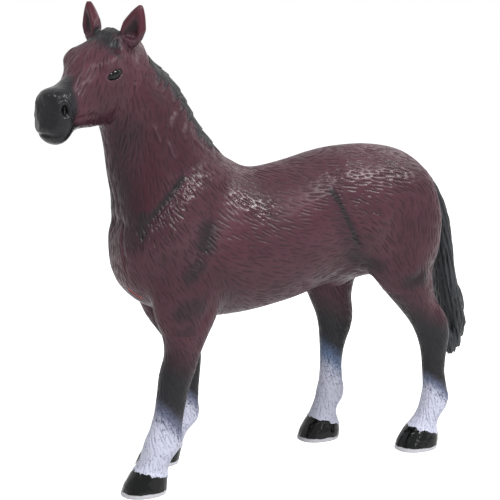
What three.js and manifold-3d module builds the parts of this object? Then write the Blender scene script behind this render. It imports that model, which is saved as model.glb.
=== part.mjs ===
// Toy horse: a standing figure put together from eight mouldings.
// Two hollow halves make the trunk and neck, a hollow head pushes into the neck, and
// four solid legs and a tail plug into sockets of the halves.
// Lengths are millimetres. +X points to the front, +Y to the horse's left, +Z up.

import * as THREE from 'three';
import { mergeVertices } from 'three/addons/utils/BufferGeometryUtils.js';
import Module from 'manifold-3d';

const wasm = await Module();
wasm.setup();

// Trunk sizes
const legHeight = 92;
const chestDepth = 92;
const trunkLength = 212;
const trunkWidth = 73;
const trackWidth = 45;
const muscleRise = 3;

// Neck and mane sizes
const neckRise = 62;
const neckReach = 79;
const neckWidth = 46;
const maneThickness = 2;
const maneDropDegrees = 34;

// Head sizes
const headLength = 67;
const headDepth = 37;
const headWidth = 33;
const headTurn = THREE.MathUtils.degToRad(26);
const headDroop = THREE.MathUtils.degToRad(21);
const headTilt = THREE.MathUtils.degToRad(4);
const browRise = 4;
const pollForward = 20;
const pollRise = 14.3;
const earHeight = 20;
const earWidth = 13.8;
const earWall = 1.7;
const earTurn = THREE.MathUtils.degToRad(20);
const earLean = THREE.MathUtils.degToRad(19);
const earSpread = THREE.MathUtils.degToRad(24);

// Leg sizes
const kneeDepth = 21;
const kneeWidth = 18.5;
const hockDepth = 26;
const hockWidth = 17.5;
const foreStride = 31;
const hindStride = 44;
const plugLength = 12;

// Tail sizes
const tailLength = 127;
const tailWidth = 24;
const tailPegRadius = 3;
const tailPegLength = 11;

// Moulding sizes
const wall = 2.6;
const gap = 0.3;
const overrun = 4;
const bossRadius = 3.6;
const bossLength = 8;
const pinRadius = 1.6;
const pinReach = 4;

const left = 1;
const right = -1;
const withersHeight = legHeight + chestDepth;

// A loft runs through stations. In the side view the depth of a station runs from a foot
// point to a crown point, and across the horse it has a half width. Its widest level is a
// share of the depth, and two powers round or square its foot and crown: 2 is an ellipse.

// Trunk rows from the buttock to the shoulder: foot along and up, crown along and up, half
// width, widest level, foot power, crown power. Along follows the trunk length from the
// girth, up follows the chest depth above the girth, and the half width the trunk width.
const trunkShares = [
  [-0.626, 0.543, -0.628, 0.630, 0.068, 0.50, 2.0, 2.0],
  [-0.608, 0.391, -0.617, 0.772, 0.240, 0.50, 2.0, 2.0],
  [-0.580, 0.304, -0.598, 0.859, 0.340, 0.52, 2.0, 2.0],
  [-0.540, 0.255, -0.562, 0.940, 0.405, 0.54, 2.0, 2.0],
  [-0.491, 0.195, -0.514, 1.006, 0.445, 0.55, 2.0, 2.0],
  [-0.415, 0.175, -0.434, 1.042, 0.455, 0.55, 2.1, 2.0],
  [-0.330, 0.165, -0.361, 1.045, 0.455, 0.54, 2.2, 2.0],
  [-0.251, 0.140, -0.293, 1.032, 0.465, 0.52, 2.2, 2.1],
  [-0.168, 0.082, -0.220, 1.000, 0.485, 0.50, 2.2, 2.1],
  [-0.084, 0.046, -0.152, 0.962, 0.500, 0.49, 2.2, 2.0],
  [0.000, 0.018, -0.094, 0.940, 0.495, 0.48, 2.2, 1.9],
  [0.084, 0.010, -0.052, 0.935, 0.480, 0.47, 2.1, 1.8],
  [0.173, 0.050, -0.021, 0.950, 0.468, 0.46, 2.0, 1.7],
  [0.268, 0.115, 0.000, 0.965, 0.453, 0.45, 2.1, 1.7],
  [0.337, 0.270, 0.018, 0.985, 0.437, 0.45, 2.4, 1.8],
];

// Neck rows from the shoulder to the cut behind the cheeks, then two inside the head, in
// the same columns. Along follows the neck reach, up the neck rise above the withers.
const neckShares = [
  [0.955, -0.730, 0.095, 0.005, 0.660, 0.46, 2.3, 1.9],
  [0.945, -0.430, 0.190, 0.125, 0.568, 0.47, 1.9, 1.9],
  [0.970, -0.160, 0.330, 0.365, 0.475, 0.48, 2.0, 1.9],
  [0.990, 0.090, 0.475, 0.690, 0.412, 0.49, 2.0, 2.0],
  [1.015, 0.280, 0.655, 0.895, 0.370, 0.50, 2.0, 2.0],
  [1.070, 0.460, 0.730, 1.060, 0.340, 0.50, 2.0, 2.0],
  [1.120, 0.600, 0.860, 1.130, 0.270, 0.50, 2.0, 2.0],
];
const hollowStart = 0.8;
const mouthRows = 0.5;
const napeRow = 4;
const neckCutRow = 4.25;

// Head rows from the back of the skull to the lips, seen from the head's own side, in the
// same columns. Along follows the head length from the poll, up follows the head depth.
const headShares = [
  [-0.118, -0.595, -0.088, -0.216, 0.242, 0.50, 2.0, 2.0],
  [-0.044, -0.811, -0.029, 0.000, 0.410, 0.52, 2.4, 2.0],
  [0.088, -0.985, 0.074, 0.100, 0.455, 0.54, 2.6, 2.2],
  [0.206, -1.050, 0.191, 0.090, 0.475, 0.58, 2.6, 2.4],
  [0.324, -1.090, 0.294, 0.045, 0.510, 0.62, 2.4, 2.8],
  [0.441, -1.080, 0.412, -0.035, 0.465, 0.60, 2.3, 2.6],
  [0.544, -1.035, 0.515, -0.130, 0.375, 0.56, 2.1, 2.4],
  [0.647, -0.960, 0.618, -0.200, 0.322, 0.50, 2.1, 2.4],
  [0.735, -0.925, 0.720, -0.225, 0.315, 0.50, 2.1, 2.5],
  [0.809, -0.930, 0.809, -0.205, 0.335, 0.50, 2.2, 2.6],
  [0.882, -0.980, 0.858, -0.235, 0.340, 0.50, 2.3, 2.6],
  [0.941, -0.975, 0.908, -0.335, 0.310, 0.50, 2.3, 2.5],
  [0.985, -0.900, 0.950, -0.480, 0.235, 0.50, 2.2, 2.2],
  [1.003, -0.750, 0.995, -0.610, 0.100, 0.50, 2.0, 2.0],
];

// Foreleg rows from the sole to the shoulder blade: height, depth, width, centre of the
// forward leg, centre of the rear leg, power. Heights to 1 follow the leg height, and past
// 1 the chest depth. Depth and width follow the knee, and the centres the stride.
const foreShares = [
  [0.000, 1.240, 1.180, 1.000, 0.115, 2.3],
  [0.060, 1.160, 1.130, 0.960, 0.050, 2.3],
  [0.130, 1.000, 1.040, 0.880, -0.070, 2.2],
  [0.150, 0.910, 0.970, 0.850, -0.110, 2.1],
  [0.215, 0.860, 0.900, 0.740, -0.240, 2.1],
  [0.280, 1.060, 0.940, 0.620, -0.400, 2.1],
  [0.335, 1.020, 0.880, 0.580, -0.430, 2.1],
  [0.395, 0.860, 0.800, 0.540, -0.460, 2.1],
  [0.510, 0.800, 0.780, 0.460, -0.500, 2.1],
  [0.640, 0.860, 0.860, 0.390, -0.520, 2.1],
  [0.715, 0.950, 0.980, 0.330, -0.500, 2.1],
  [0.775, 0.990, 1.000, 0.270, -0.450, 2.1],
  [0.850, 0.980, 1.030, 0.200, -0.360, 2.0],
  [0.930, 1.200, 1.140, 0.150, -0.230, 2.0],
  [1.000, 1.480, 1.220, 0.130, -0.180, 2.0],
  [1.100, 1.950, 1.280, 0.100, -0.200, 2.0],
  [1.230, 2.150, 1.260, 0.080, -0.060, 2.0],
  [1.380, 2.000, 1.100, 0.080, 0.040, 2.0],
  [1.520, 1.550, 0.860, 0.080, 0.080, 2.0],
  [1.620, 0.900, 0.500, 0.080, 0.080, 2.0],
];
const foreFootShare = 0.175;
const foreJointShare = 0.975;

// Hind leg rows from the sole to the croup, in the same columns, but following the hock.
const hindShares = [
  [0.000, 1.020, 1.260, 1.000, 0.000, 2.3],
  [0.060, 0.990, 1.230, 0.970, -0.030, 2.3],
  [0.130, 0.820, 1.100, 0.940, -0.075, 2.2],
  [0.150, 0.700, 1.000, 0.930, -0.090, 2.1],
  [0.215, 0.570, 0.900, 0.900, -0.185, 2.1],
  [0.270, 0.670, 0.900, 0.825, -0.270, 2.1],
  [0.330, 0.690, 0.890, 0.800, -0.308, 2.1],
  [0.395, 0.575, 0.810, 0.792, -0.305, 2.1],
  [0.500, 0.505, 0.790, 0.795, -0.275, 2.1],
  [0.600, 0.550, 0.820, 0.785, -0.270, 2.1],
  [0.670, 0.630, 0.890, 0.770, -0.270, 2.1],
  [0.740, 0.770, 0.960, 0.740, -0.262, 2.1],
  [0.810, 0.890, 0.970, 0.728, -0.230, 2.1],
  [0.880, 0.990, 1.050, 0.745, -0.160, 2.0],
  [0.960, 1.040, 1.200, 0.800, -0.035, 2.0],
  [1.060, 1.230, 1.400, 0.850, 0.105, 2.0],
  [1.180, 1.530, 1.600, 0.800, 0.250, 2.0],
  [1.340, 1.960, 1.560, 0.640, 0.290, 2.0],
  [1.540, 2.060, 1.490, 0.430, 0.265, 2.0],
  [1.710, 1.750, 1.250, 0.320, 0.250, 2.0],
  [1.830, 1.200, 0.880, 0.260, 0.240, 2.0],
  [1.890, 0.600, 0.420, 0.240, 0.230, 2.0],
];
const hindFootShare = -0.538;
const hindJointShare = 1.09;

// Tail rows from the dock to the tip: inner along and up, outer along and up, half width.
// Along and up follow the tail length from the dock, the half width the tail width.
const tailShares = [
  [0.077, -0.008, 0.046, 0.059, 0.14],
  [0.022, -0.055, -0.049, -0.013, 0.20],
  [-0.021, -0.118, -0.100, -0.079, 0.26],
  [-0.049, -0.189, -0.144, -0.161, 0.32],
  [-0.072, -0.268, -0.175, -0.252, 0.37],
  [-0.092, -0.394, -0.194, -0.386, 0.42],
  [-0.104, -0.504, -0.205, -0.504, 0.45],
  [-0.120, -0.591, -0.231, -0.598, 0.46],
  [-0.143, -0.701, -0.266, -0.701, 0.44],
  [-0.167, -0.795, -0.295, -0.791, 0.37],
  [-0.175, -0.874, -0.262, -0.874, 0.22],
];
const dockRow = 2;
const pegRow = 2.6;

// Locks that stand out of the tail's lower end: across and deep place them in the tail's
// section, thick is a share of the tail width, and from and to are rows where they start and
// end, past the last row along the same line.
const lockShares = [
  { across: -0.30, deep: 0.72, thick: 0.15, from: 2.4, to: 8.8 },
  { across: 0.28, deep: 0.74, thick: 0.16, from: 2.2, to: 10.5 },
  { across: -0.62, deep: 0.42, thick: 0.17, from: 3.2, to: 10.4 },
  { across: 0.62, deep: 0.42, thick: 0.17, from: 3.2, to: 10.7 },
  { across: 0.20, deep: 0.30, thick: 0.19, from: 4.4, to: 10.8 },
  { across: -0.22, deep: 0.32, thick: 0.17, from: 4.4, to: 10.9 },
];

// Ear rows from the base to the tip: height as a share of the ear height, width and depth
// as shares of the ear width.
const earShares = [
  [-0.10, 0.60, 0.50],
  [0.08, 0.88, 0.60],
  [0.24, 1.00, 0.60],
  [0.42, 0.94, 0.54],
  [0.58, 0.76, 0.46],
  [0.76, 0.53, 0.34],
  [0.92, 0.26, 0.20],
  [1.00, 0.09, 0.09],
];

// The rows between which the skull is hollow.
const skullHollowRows = { from: 1.8, to: 11 };

// The middle of an ear's base in the head's own frame, how far forward its cup opens, and
// the ear rows between which the cup lies.
const earPlaceShares = { along: 0.048, across: 0.394, up: -0.03 };
const earCupShare = 0.28;
const earCupRows = { from: 1, to: 6 };

// Forelock rows from the poll down the forehead: foot along and up, crown along and up as
// shares of the head length and depth, half width and middle as shares of the head width.
const forelockShares = [
  [-0.05, -0.16, -0.03, 0.06, 0.14, 0.00],
  [0.03, -0.10, 0.04, 0.16, 0.22, 0.02],
  [0.12, -0.10, 0.12, 0.17, 0.24, 0.07],
  [0.20, -0.12, 0.21, 0.13, 0.20, 0.14],
  [0.27, -0.16, 0.29, 0.06, 0.13, 0.21],
  [0.32, -0.20, 0.34, -0.02, 0.05, 0.26],
];

// Loft tools

function blend(before, start, end, after, t) {
  const slopeStart = (end - before) / 2;
  const slopeEnd = (after - start) / 2;
  const square = t * t;
  const cube = square * t;
  const nearStart = start * (2 * cube - 3 * square + 1) + slopeStart * (cube - 2 * square + t);
  const nearEnd = end * (3 * square - 2 * cube) + slopeEnd * (cube - square);
  return nearStart + nearEnd;
}

// The station at any place along a loft, whole numbers being its rows.
function stationAt(rows, place) {
  const last = rows.length - 1;
  const row = THREE.MathUtils.clamp(Math.floor(place), 0, last - 1);
  const near = (offset) => rows[THREE.MathUtils.clamp(row + offset, 0, last)];
  return rows[row].map((start, field) => (
    blend(near(-1)[field], start, near(1)[field], near(2)[field], place - row)));
}

// A point at a share of the depth of a section, with the section's directions and sizes.
function sectionAt(loft, place) {
  const row = stationAt(loft.rows, place);
  const [footX, footZ, crownX, crownZ, half, widest, footPower, crownPower, middleY] = row;
  const foot = new THREE.Vector3(footX, middleY, footZ);
  const crown = new THREE.Vector3(crownX, middleY, crownZ);
  const depth = foot.distanceTo(crown);
  const up = crown.clone().sub(foot).divideScalar(depth);
  return { foot, crown, up, depth, half, widest, footPower, crownPower };
}

function ringAt(loft, place, inset, around) {
  const { foot, up, depth, half, widest, footPower, crownPower } = sectionAt(loft, place);
  const ring = [];
  for (let step = 0; step < around; step += 1) {
    const angle = 2 * Math.PI * step / around;
    const across = Math.cos(angle);
    const rise = Math.sin(angle);
    const power = 2 / (rise >= 0 ? crownPower : footPower);
    const reach = depth * (rise >= 0 ? 1 - widest : widest) - inset;
    const bump = loft.relief ? loft.relief(place, angle) : 0;
    const relief = inset > 0 ? Math.min(bump, 0) : bump;
    const side = Math.sign(across) * Math.abs(across) ** power * (half - inset) + across * relief;
    const level = Math.sign(rise) * Math.abs(rise) ** power * reach + rise * relief;
    const point = foot.clone().addScaledVector(up, depth * widest + level);
    point.y += side;
    ring.push(point);
  }
  return ring;
}

// A closed skin through rings of equally many points, with a fan over each end.
function closeRings(rings) {
  const around = rings[0].length;
  const points = rings.flat();
  const triangles = [];
  for (let row = 0; row + 1 < rings.length; row += 1) {
    for (let step = 0; step < around; step += 1) {
      const here = row * around + step;
      const next = row * around + (step + 1) % around;
      triangles.push(here, next, here + around, next, next + around, here + around);
    }
  }
  for (const first of [0, (rings.length - 1) * around]) {
    const middle = new THREE.Vector3();
    points.slice(first, first + around).forEach((point) => middle.add(point));
    points.push(middle.divideScalar(around));
    for (let step = 0; step < around; step += 1) {
      const here = first + step;
      const next = first + (step + 1) % around;
      const centre = points.length - 1;
      triangles.push(...(first === 0 ? [next, here, centre] : [here, next, centre]));
    }
  }
  const geometry = new THREE.BufferGeometry().setFromPoints(points);
  geometry.setIndex(triangles);
  return geometry;
}

// The skin of a loft between two places, or the same skin moved inwards by an inset.
// Insides are plain, so they take fewer rings and points than the outside.
function skin(loft, { inset = 0, from = 0, to = loft.rows.length - 1 } = {}) {
  const along = inset > 0 ? 1 : loft.along;
  const around = inset > 0 ? loft.insideAround : loft.around;
  const count = Math.max(2, Math.round((to - from) * along));
  const rings = [];
  for (let step = 0; step <= count; step += 1) {
    rings.push(ringAt(loft, from + (to - from) * step / count, inset, around));
  }
  return closeRings(rings);
}

// The place of a leg's loft at a height.
function placeAt(loft, height) {
  let low = 0;
  let high = loft.rows.length - 1;
  for (let halving = 0; halving < 40; halving += 1) {
    const middle = (low + high) / 2;
    if (stationAt(loft.rows, middle)[1] < height) low = middle;
    else high = middle;
  }
  return low;
}

// The place of a loft whose middle lies a distance before the middle of another place.
function placeBefore(loft, place, distance) {
  const middleAt = (at) => {
    const { foot, crown } = sectionAt(loft, at);
    return foot.add(crown).divideScalar(2);
  };
  let near = place;
  let far = 0;
  for (let halving = 0; halving < 40; halving += 1) {
    const between = (near + far) / 2;
    if (middleAt(between).distanceTo(middleAt(place)) < distance) near = between;
    else far = between;
  }
  return near;
}

// Solid tools

function signedVolume(geometry) {
  const position = geometry.getAttribute('position');
  const index = geometry.getIndex();
  const corners = [new THREE.Vector3(), new THREE.Vector3(), new THREE.Vector3()];
  let volume = 0;
  for (let face = 0; face < index.count; face += 3) {
    corners.forEach((corner, k) => corner.fromBufferAttribute(position, index.getX(face + k)));
    volume += corners[0].dot(corners[1].cross(corners[2])) / 6;
  }
  return volume;
}

function solid(geometry, matrix = new THREE.Matrix4()) {
  const bare = geometry.clone().applyMatrix4(matrix);
  bare.deleteAttribute('normal');
  bare.deleteAttribute('uv');
  const merged = mergeVertices(bare);
  const triVerts = Uint32Array.from(merged.getIndex().array);
  if (signedVolume(merged) < 0) triVerts.reverse();
  const vertProperties = Float32Array.from(merged.getAttribute('position').array);
  return new wasm.Manifold(new wasm.Mesh({ numProp: 3, vertProperties, triVerts }));
}

function join(solids) {
  return solids.reduce((sum, next) => sum.add(next));
}

function meshOf(name, body, material) {
  const { vertProperties, triVerts } = body.getMesh();
  const geometry = new THREE.BufferGeometry();
  geometry.setAttribute('position', new THREE.BufferAttribute(Float32Array.from(vertProperties), 3));
  geometry.setIndex(Array.from(triVerts));
  geometry.computeVertexNormals();
  const mesh = new THREE.Mesh(geometry, material);
  mesh.name = name;
  return mesh;
}

// A round rod from one point to another.
function rod(start, end, radius) {
  const length = start.distanceTo(end);
  const turn = new THREE.Quaternion().setFromUnitVectors(
    new THREE.Vector3(0, 1, 0), end.clone().sub(start).normalize());
  const middle = start.clone().add(end).divideScalar(2);
  const place = new THREE.Matrix4().compose(middle, turn, new THREE.Vector3(1, 1, 1));
  return solid(new THREE.CylinderGeometry(radius, radius, length, 12), place);
}

// Muscles and mane

// Bumps of a skin: place, facing, spread along, spread around, height, and for a furrow the
// place and facing where it ends. Facing is in degrees, 0 at the flank, 90 on the top line
// and -90 under the belly.
const muscleShares = [
  [3.2, 30, 1.6, 26, 0.60],
  [7.0, 8, 0.9, 26, -0.60],
  [12.6, 40, 1.2, 24, 0.55],
  [12.2, -8, 1.0, 28, 0.60],
  [15.6, -50, 1.1, 22, 0.80],
  [16.6, 25, 1.3, 22, 0.30],
  [17.4, -28, 1.5, 14, -0.40],
  [6.1, -90, 0.55, 13, 1.10],
  [14.8, -8, 0.9, 22, 0.50],
  [5.6, 0, 1.0, 22, 0.30],
  [16.2, 20, 0.50, 14, -0.70, 15.2, -50],
  [13.7, 22, 0.50, 14, -0.50, 13.1, -20],
  [8.2, 60, 0.50, 14, -0.50, 6.4, -28],
  [6.4, -30, 0.60, 11, -0.30, 8.3, -49],
];
const browShares = [
  [4.3, 33, 0.8, 17, 1.00],
  [4.4, 8, 0.6, 10, -0.30],
  [2.6, -30, 1.2, 26, 0.30],
  [6.2, 14, 1.0, 16, -0.30],
  [9.8, 14, 0.6, 16, 0.25],
];

function bumps(shares, rise, place, angle) {
  const degrees = THREE.MathUtils.radToDeg(angle);
  const facing = 90 - Math.abs(THREE.MathUtils.euclideanModulo(degrees + 90, 360) - 180);
  return shares.reduce((sum, [at, toward, along, around, share, end = at, endToward = toward]) => {
    const offset = new THREE.Vector2((place - at) / along, (facing - toward) / around);
    const run = new THREE.Vector2((end - at) / along, (endToward - toward) / around);
    const travelled = THREE.MathUtils.clamp(offset.dot(run) / (run.lengthSq() || 1), 0, 1);
    offset.addScaledVector(run, -travelled);
    return sum + share * rise * Math.exp(-offset.lengthSq());
  }, 0);
}

// The mane starts at the withers, lies over the crest and hangs on the right side in locks.
const maneStart = trunkShares.length - 3;
const neckCut = trunkShares.length + neckCutRow;
const maneLocks = 6;
const maneCrestDegrees = { from: 76, to: 88 };
const maneEdgeDegrees = 9;
const maneShares = { lengthen: 3, thicken: 5, lockDrop: 0.5, lockRise: 0.4 };

function mane(place, angle) {
  const share = (place - maneStart) / (neckCut - maneStart);
  if (share <= 0) return 0;
  const degrees = THREE.MathUtils.radToDeg(angle);
  const lock = (1 - Math.cos(2 * Math.PI * maneLocks * share)) / 2;
  const drop = Math.min(1, maneShares.lengthen * share) * (1 + maneShares.lockDrop * lock);
  const edge = 90 + maneDropDegrees * drop;
  const crest = THREE.MathUtils.smoothstep(degrees, maneCrestDegrees.from, maneCrestDegrees.to);
  const side = 1 - THREE.MathUtils.smoothstep(degrees, edge, edge + maneEdgeDegrees);
  const rise = Math.min(1, maneShares.thicken * share) * (1 - maneShares.lockRise * (1 - lock));
  return maneThickness * rise * crest * side;
}

// Lofts

function bodyRows(shares, length, height, width, base) {
  return shares.map(([footX, footZ, crownX, crownZ, half, widest, footPower, crownPower]) => [
    footX * length, base + footZ * height, crownX * length, base + crownZ * height,
    half * width, widest, footPower, crownPower, 0]);
}

const trunk = {
  rows: [
    ...bodyRows(trunkShares, trunkLength, chestDepth, trunkWidth, legHeight),
    ...bodyRows(neckShares, neckReach, neckRise, neckWidth, withersHeight),
  ],
  along: 2,
  around: 32,
  insideAround: 16,
  relief: (place, angle) => bumps(muscleShares, muscleRise, place, angle) + mane(place, angle),
};

const skull = {
  rows: bodyRows(headShares, headLength, headDepth, headWidth, 0),
  along: 2,
  around: 24,
  insideAround: 12,
  relief: (place, angle) => bumps(browShares, browRise, place, angle),
};

function legLoft(shares, depthSize, widthSize, rearFootX, stride, forward, side) {
  const rows = shares.map(([up, depthShare, widthShare, forwardShare, rearShare, power]) => {
    const height = up <= 1 ? up * legHeight : legHeight + (up - 1) * chestDepth;
    const centre = rearFootX + (forward ? forwardShare : rearShare) * stride;
    const halfDepth = depthShare * depthSize / 2;
    return [centre - halfDepth, height, centre + halfDepth, height,
      widthShare * widthSize / 2, 0.5, power, power, side * trackWidth / 2];
  });
  return { rows, along: 1, around: 20, insideAround: 12 };
}

function foreleg(name, forward, side) {
  return { name, joint: foreJointShare * legHeight, loft: legLoft(
    foreShares, kneeDepth, kneeWidth, foreFootShare * trunkLength, foreStride, forward, side) };
}

function hindleg(name, forward, side) {
  return { name, joint: legHeight + (hindJointShare - 1) * chestDepth, loft: legLoft(
    hindShares, hockDepth, hockWidth, hindFootShare * trunkLength, hindStride, forward, side) };
}

const legs = [
  foreleg('foreleg_left', true, left),
  foreleg('foreleg_right', false, right),
  hindleg('hindleg_left', false, left),
  hindleg('hindleg_right', true, right),
];

// Body shells

// The outside of the trunk, the neck and the upper legs, down to the leg joints.
function bodyOutside(grow = 0) {
  const upperLegs = legs.map(({ loft, joint }) => (
    solid(skin(loft, { inset: -grow, from: placeAt(loft, joint + gap - grow) }))));
  return join([solid(skin(trunk, { inset: -grow, to: neckCut })), ...upperLegs]);
}

// The hollow of the trunk and of one upper leg. Moved inwards by a gap, they are also the
// skins of the plugs that fill their mouths.
function trunkHollow(inset) {
  return solid(skin(trunk, { inset, from: hollowStart, to: neckCut + mouthRows }));
}

function legHollow({ loft, joint }, inset) {
  return solid(skin(loft, {
    inset, from: placeAt(loft, joint - overrun), to: loft.rows.length - 2 }));
}

function bodyCavity() {
  return join([trunkHollow(wall), ...legs.map((leg) => legHollow(leg, wall))]);
}

// Bosses stand on the wall by the middle plane, where the halves are pinned together. Each
// number is a place along the trunk's loft.
const bossPlaces = { underCrown: [4.5, 9, 16.3], aboveFoot: [4.5, 9, 16.6] };

function bossCentres() {
  const depthIn = wall + bossRadius / 2;
  const underCrown = bossPlaces.underCrown.map((place) => {
    const { crown, up } = sectionAt(trunk, place);
    return crown.addScaledVector(up, -depthIn);
  });
  const aboveFoot = bossPlaces.aboveFoot.map((place) => {
    const { foot, up } = sectionAt(trunk, place);
    return foot.addScaledVector(up, depthIn);
  });
  return [...underCrown, ...aboveFoot];
}

function rodAcross(centre, start, end, radius) {
  const from = new THREE.Vector3(centre.x, start, centre.z);
  const to = new THREE.Vector3(centre.x, end, centre.z);
  return rod(from, to, radius);
}

// The tail's peg runs level from inside the tail through the rump into the hollow.
function tailPeg(radius, extra = 0) {
  const { foot, crown } = sectionAt(tailLoft, pegRow);
  const start = foot.clone().add(crown).divideScalar(2);
  const end = foot.clone().setZ(start.z);
  end.x += tailPegLength + extra;
  return rod(start, end, radius);
}

const unitBox = new THREE.BoxGeometry(1, 1, 1);

// Everything on one side of the middle plane, clear of it by half a gap.
function halfSpace(side) {
  const size = 2 * (trunkLength + withersHeight + neckRise + neckReach);
  const matrix = new THREE.Matrix4().makeScale(size, size, size)
    .setPosition(0, side * (size + gap) / 2, 0);
  return solid(unitBox, matrix);
}

function bodyShell(side) {
  const centres = bossCentres();
  const bosses = join(centres.map((centre) => rodAcross(centre, -bossLength, bossLength, bossRadius)));
  const collar = tailPeg(tailPegRadius + gap + wall);
  const hollow = bodyCavity().subtract(bosses).subtract(collar);
  const moulding = bodyOutside().subtract(hollow).subtract(tailPeg(tailPegRadius + gap, overrun));
  const shell = moulding.intersect(halfSpace(side));
  if (side === left) {
    return join([shell, ...centres.map((centre) => (
      rodAcross(centre, -pinReach, bossLength / 2, pinRadius)))]);
  }
  return centres.reduce((sum, centre) => (
    sum.subtract(rodAcross(centre, -pinReach - gap, overrun, pinRadius + gap))), shell);
}

// Head

function headPlace() {
  const { crown } = sectionAt(trunk, trunkShares.length + napeRow);
  return new THREE.Matrix4().makeTranslation(crown.x + pollForward, 0, crown.z + pollRise)
    .multiply(new THREE.Matrix4().makeRotationZ(headTurn))
    .multiply(new THREE.Matrix4().makeRotationY(headDroop))
    .multiply(new THREE.Matrix4().makeRotationX(-headTilt));
}

function earLoft(shrink, forward) {
  const rows = earShares.map(([up, widthShare, depthShare]) => {
    const halfDepth = depthShare * earWidth / 2;
    const half = Math.max(widthShare * earWidth / 2 - shrink, widthShare * earWidth / 8);
    const height = up * earHeight;
    return [forward - halfDepth, height, forward + halfDepth, height, half, 0.5, 2, 2, 0];
  });
  return { rows, along: 1, around: 10 };
}

// Each ear leans back and outwards, and its cup is open to the front.
function ears() {
  const outside = [];
  const cups = [];
  for (const side of [left, right]) {
    const place = headPlace()
      .multiply(new THREE.Matrix4().makeTranslation(
        earPlaceShares.along * headLength, side * earPlaceShares.across * headWidth,
        earPlaceShares.up * headDepth))
      .multiply(new THREE.Matrix4().makeRotationZ(side * earTurn))
      .multiply(new THREE.Matrix4().makeRotationY(-earLean))
      .multiply(new THREE.Matrix4().makeRotationX(-side * earSpread));
    outside.push(solid(skin(earLoft(0, 0)), place));
    cups.push(solid(skin(earLoft(earWall, earCupShare * earWidth), earCupRows), place));
  }
  return { outside, cups };
}

// The forelock lies between the ears and down the forehead.
function forelock() {
  const rows = forelockShares.map(([footX, footZ, crownX, crownZ, half, middle]) => [
    footX * headLength, footZ * headDepth, crownX * headLength, crownZ * headDepth,
    half * headWidth, 0.5, 2, 2, middle * headWidth]);
  return solid(skin({ rows, along: 1, around: 10 }), headPlace());
}

function headMoulding() {
  const place = headPlace();
  const neckEnd = trunk.rows.length - 1;
  const plugStart = placeBefore(trunk, neckCut, plugLength);
  const collar = solid(skin(trunk, { from: neckCut, to: neckEnd }));
  const plugReach = solid(skin(trunk, { from: plugStart, to: neckCut + mouthRows }));
  const plug = trunkHollow(wall + gap).intersect(plugReach);
  const bore = solid(skin(trunk, {
    inset: 2 * wall + gap, from: plugStart - mouthRows, to: neckEnd }));
  const hollow = solid(skin(skull, { inset: wall, ...skullHollowRows }), place);
  const { outside, cups } = ears();
  const neck = solid(skin(trunk, { inset: -gap, to: neckCut }));
  const skinParts = [solid(skin(skull), place), collar, forelock(), ...outside];
  const head = join(skinParts).subtract(neck).add(plug).subtract(join([bore, hollow, ...cups]));
  const cut = sectionAt(trunk, neckCut).up;
  return head.translate([cut.z * gap, 0, -cut.x * gap]);
}

// Legs and tail

function legMoulding(leg) {
  const { loft, joint } = leg;
  const lower = solid(skin(loft, { to: placeAt(loft, joint) }));
  const plugReach = solid(skin(loft, {
    from: placeAt(loft, joint - overrun), to: placeAt(loft, joint + plugLength) }));
  return lower.add(legHollow(leg, wall + gap).intersect(plugReach));
}

const tailLoft = {
  rows: tailShares.map(([innerX, innerZ, outerX, outerZ, half]) => {
    const dock = sectionAt(trunk, dockRow).crown;
    return [dock.x + innerX * tailLength, dock.z + innerZ * tailLength,
      dock.x + outerX * tailLength, dock.z + outerZ * tailLength, half * tailWidth, 0.5, 2, 2, 0];
  }),
  along: 1,
  around: 18,
};

// A lock swells from a thin root, keeps its size and closes at the tip.
const lockRings = 7;
const lockRoot = { size: 0.3, swell: 2 };
const lockTip = { size: 0.12, power: 6 };
const lockSpreadShare = 0.4;

function tailLock({ across, deep, thick, from, to }) {
  const last = tailLoft.rows.length - 1;
  const rows = [];
  for (let step = 0; step <= lockRings; step += 1) {
    const share = step / lockRings;
    const place = from + (to - from) * share;
    const { foot, up, depth, half } = sectionAt(tailLoft, Math.min(place, last));
    const past = Math.max(0, place - last) * tailLength / last;
    const tip = Math.max(lockTip.size, Math.sqrt(1 - share ** lockTip.power));
    const size = thick * tailWidth * tip * Math.min(1, lockRoot.size + lockRoot.swell * share);
    const middle = foot.clone().addScaledVector(up, depth * deep);
    const spread = Math.max(half, lockSpreadShare * tailWidth);
    rows.push([middle.x + size, middle.z - past, middle.x - size, middle.z - past,
      size, 0.5, 2, 2, across * spread]);
  }
  return solid(skin({ rows, along: 1, around: 8 }));
}

function tailMoulding() {
  const legSkins = legs.map(({ loft, joint }) => (
    solid(skin(loft, { inset: -gap, to: placeAt(loft, joint + overrun) }))));
  const hair = join([solid(skin(tailLoft)), ...lockShares.map(tailLock)]);
  return hair.subtract(bodyOutside(gap)).subtract(join(legSkins)).add(tailPeg(tailPegRadius));
}

// The assembled horse

const brownPaint = new THREE.MeshStandardMaterial({ color: 0x4a2a30, roughness: 0.35, metalness: 0 });
const sockPaint = new THREE.MeshStandardMaterial({ color: 0x6d6470, roughness: 0.4, metalness: 0 });
const tailPaint = new THREE.MeshStandardMaterial({ color: 0x26282b, roughness: 0.6, metalness: 0 });

const group = new THREE.Group();
group.add(meshOf('body_shell_left', bodyShell(left), brownPaint));
group.add(meshOf('body_shell_right', bodyShell(right), brownPaint));
group.add(meshOf('head', headMoulding(), brownPaint));
legs.forEach((leg) => group.add(meshOf(leg.name, legMoulding(leg), sockPaint)));
group.add(meshOf('tail', tailMoulding(), tailPaint));

// The origin is under the middle of the whole figure, on the ground.
const bounds = new THREE.Box3().setFromObject(group, true);
const middle = bounds.getCenter(new THREE.Vector3());
group.position.set(-middle.x, -middle.y, -bounds.min.z);

export default group;
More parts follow.
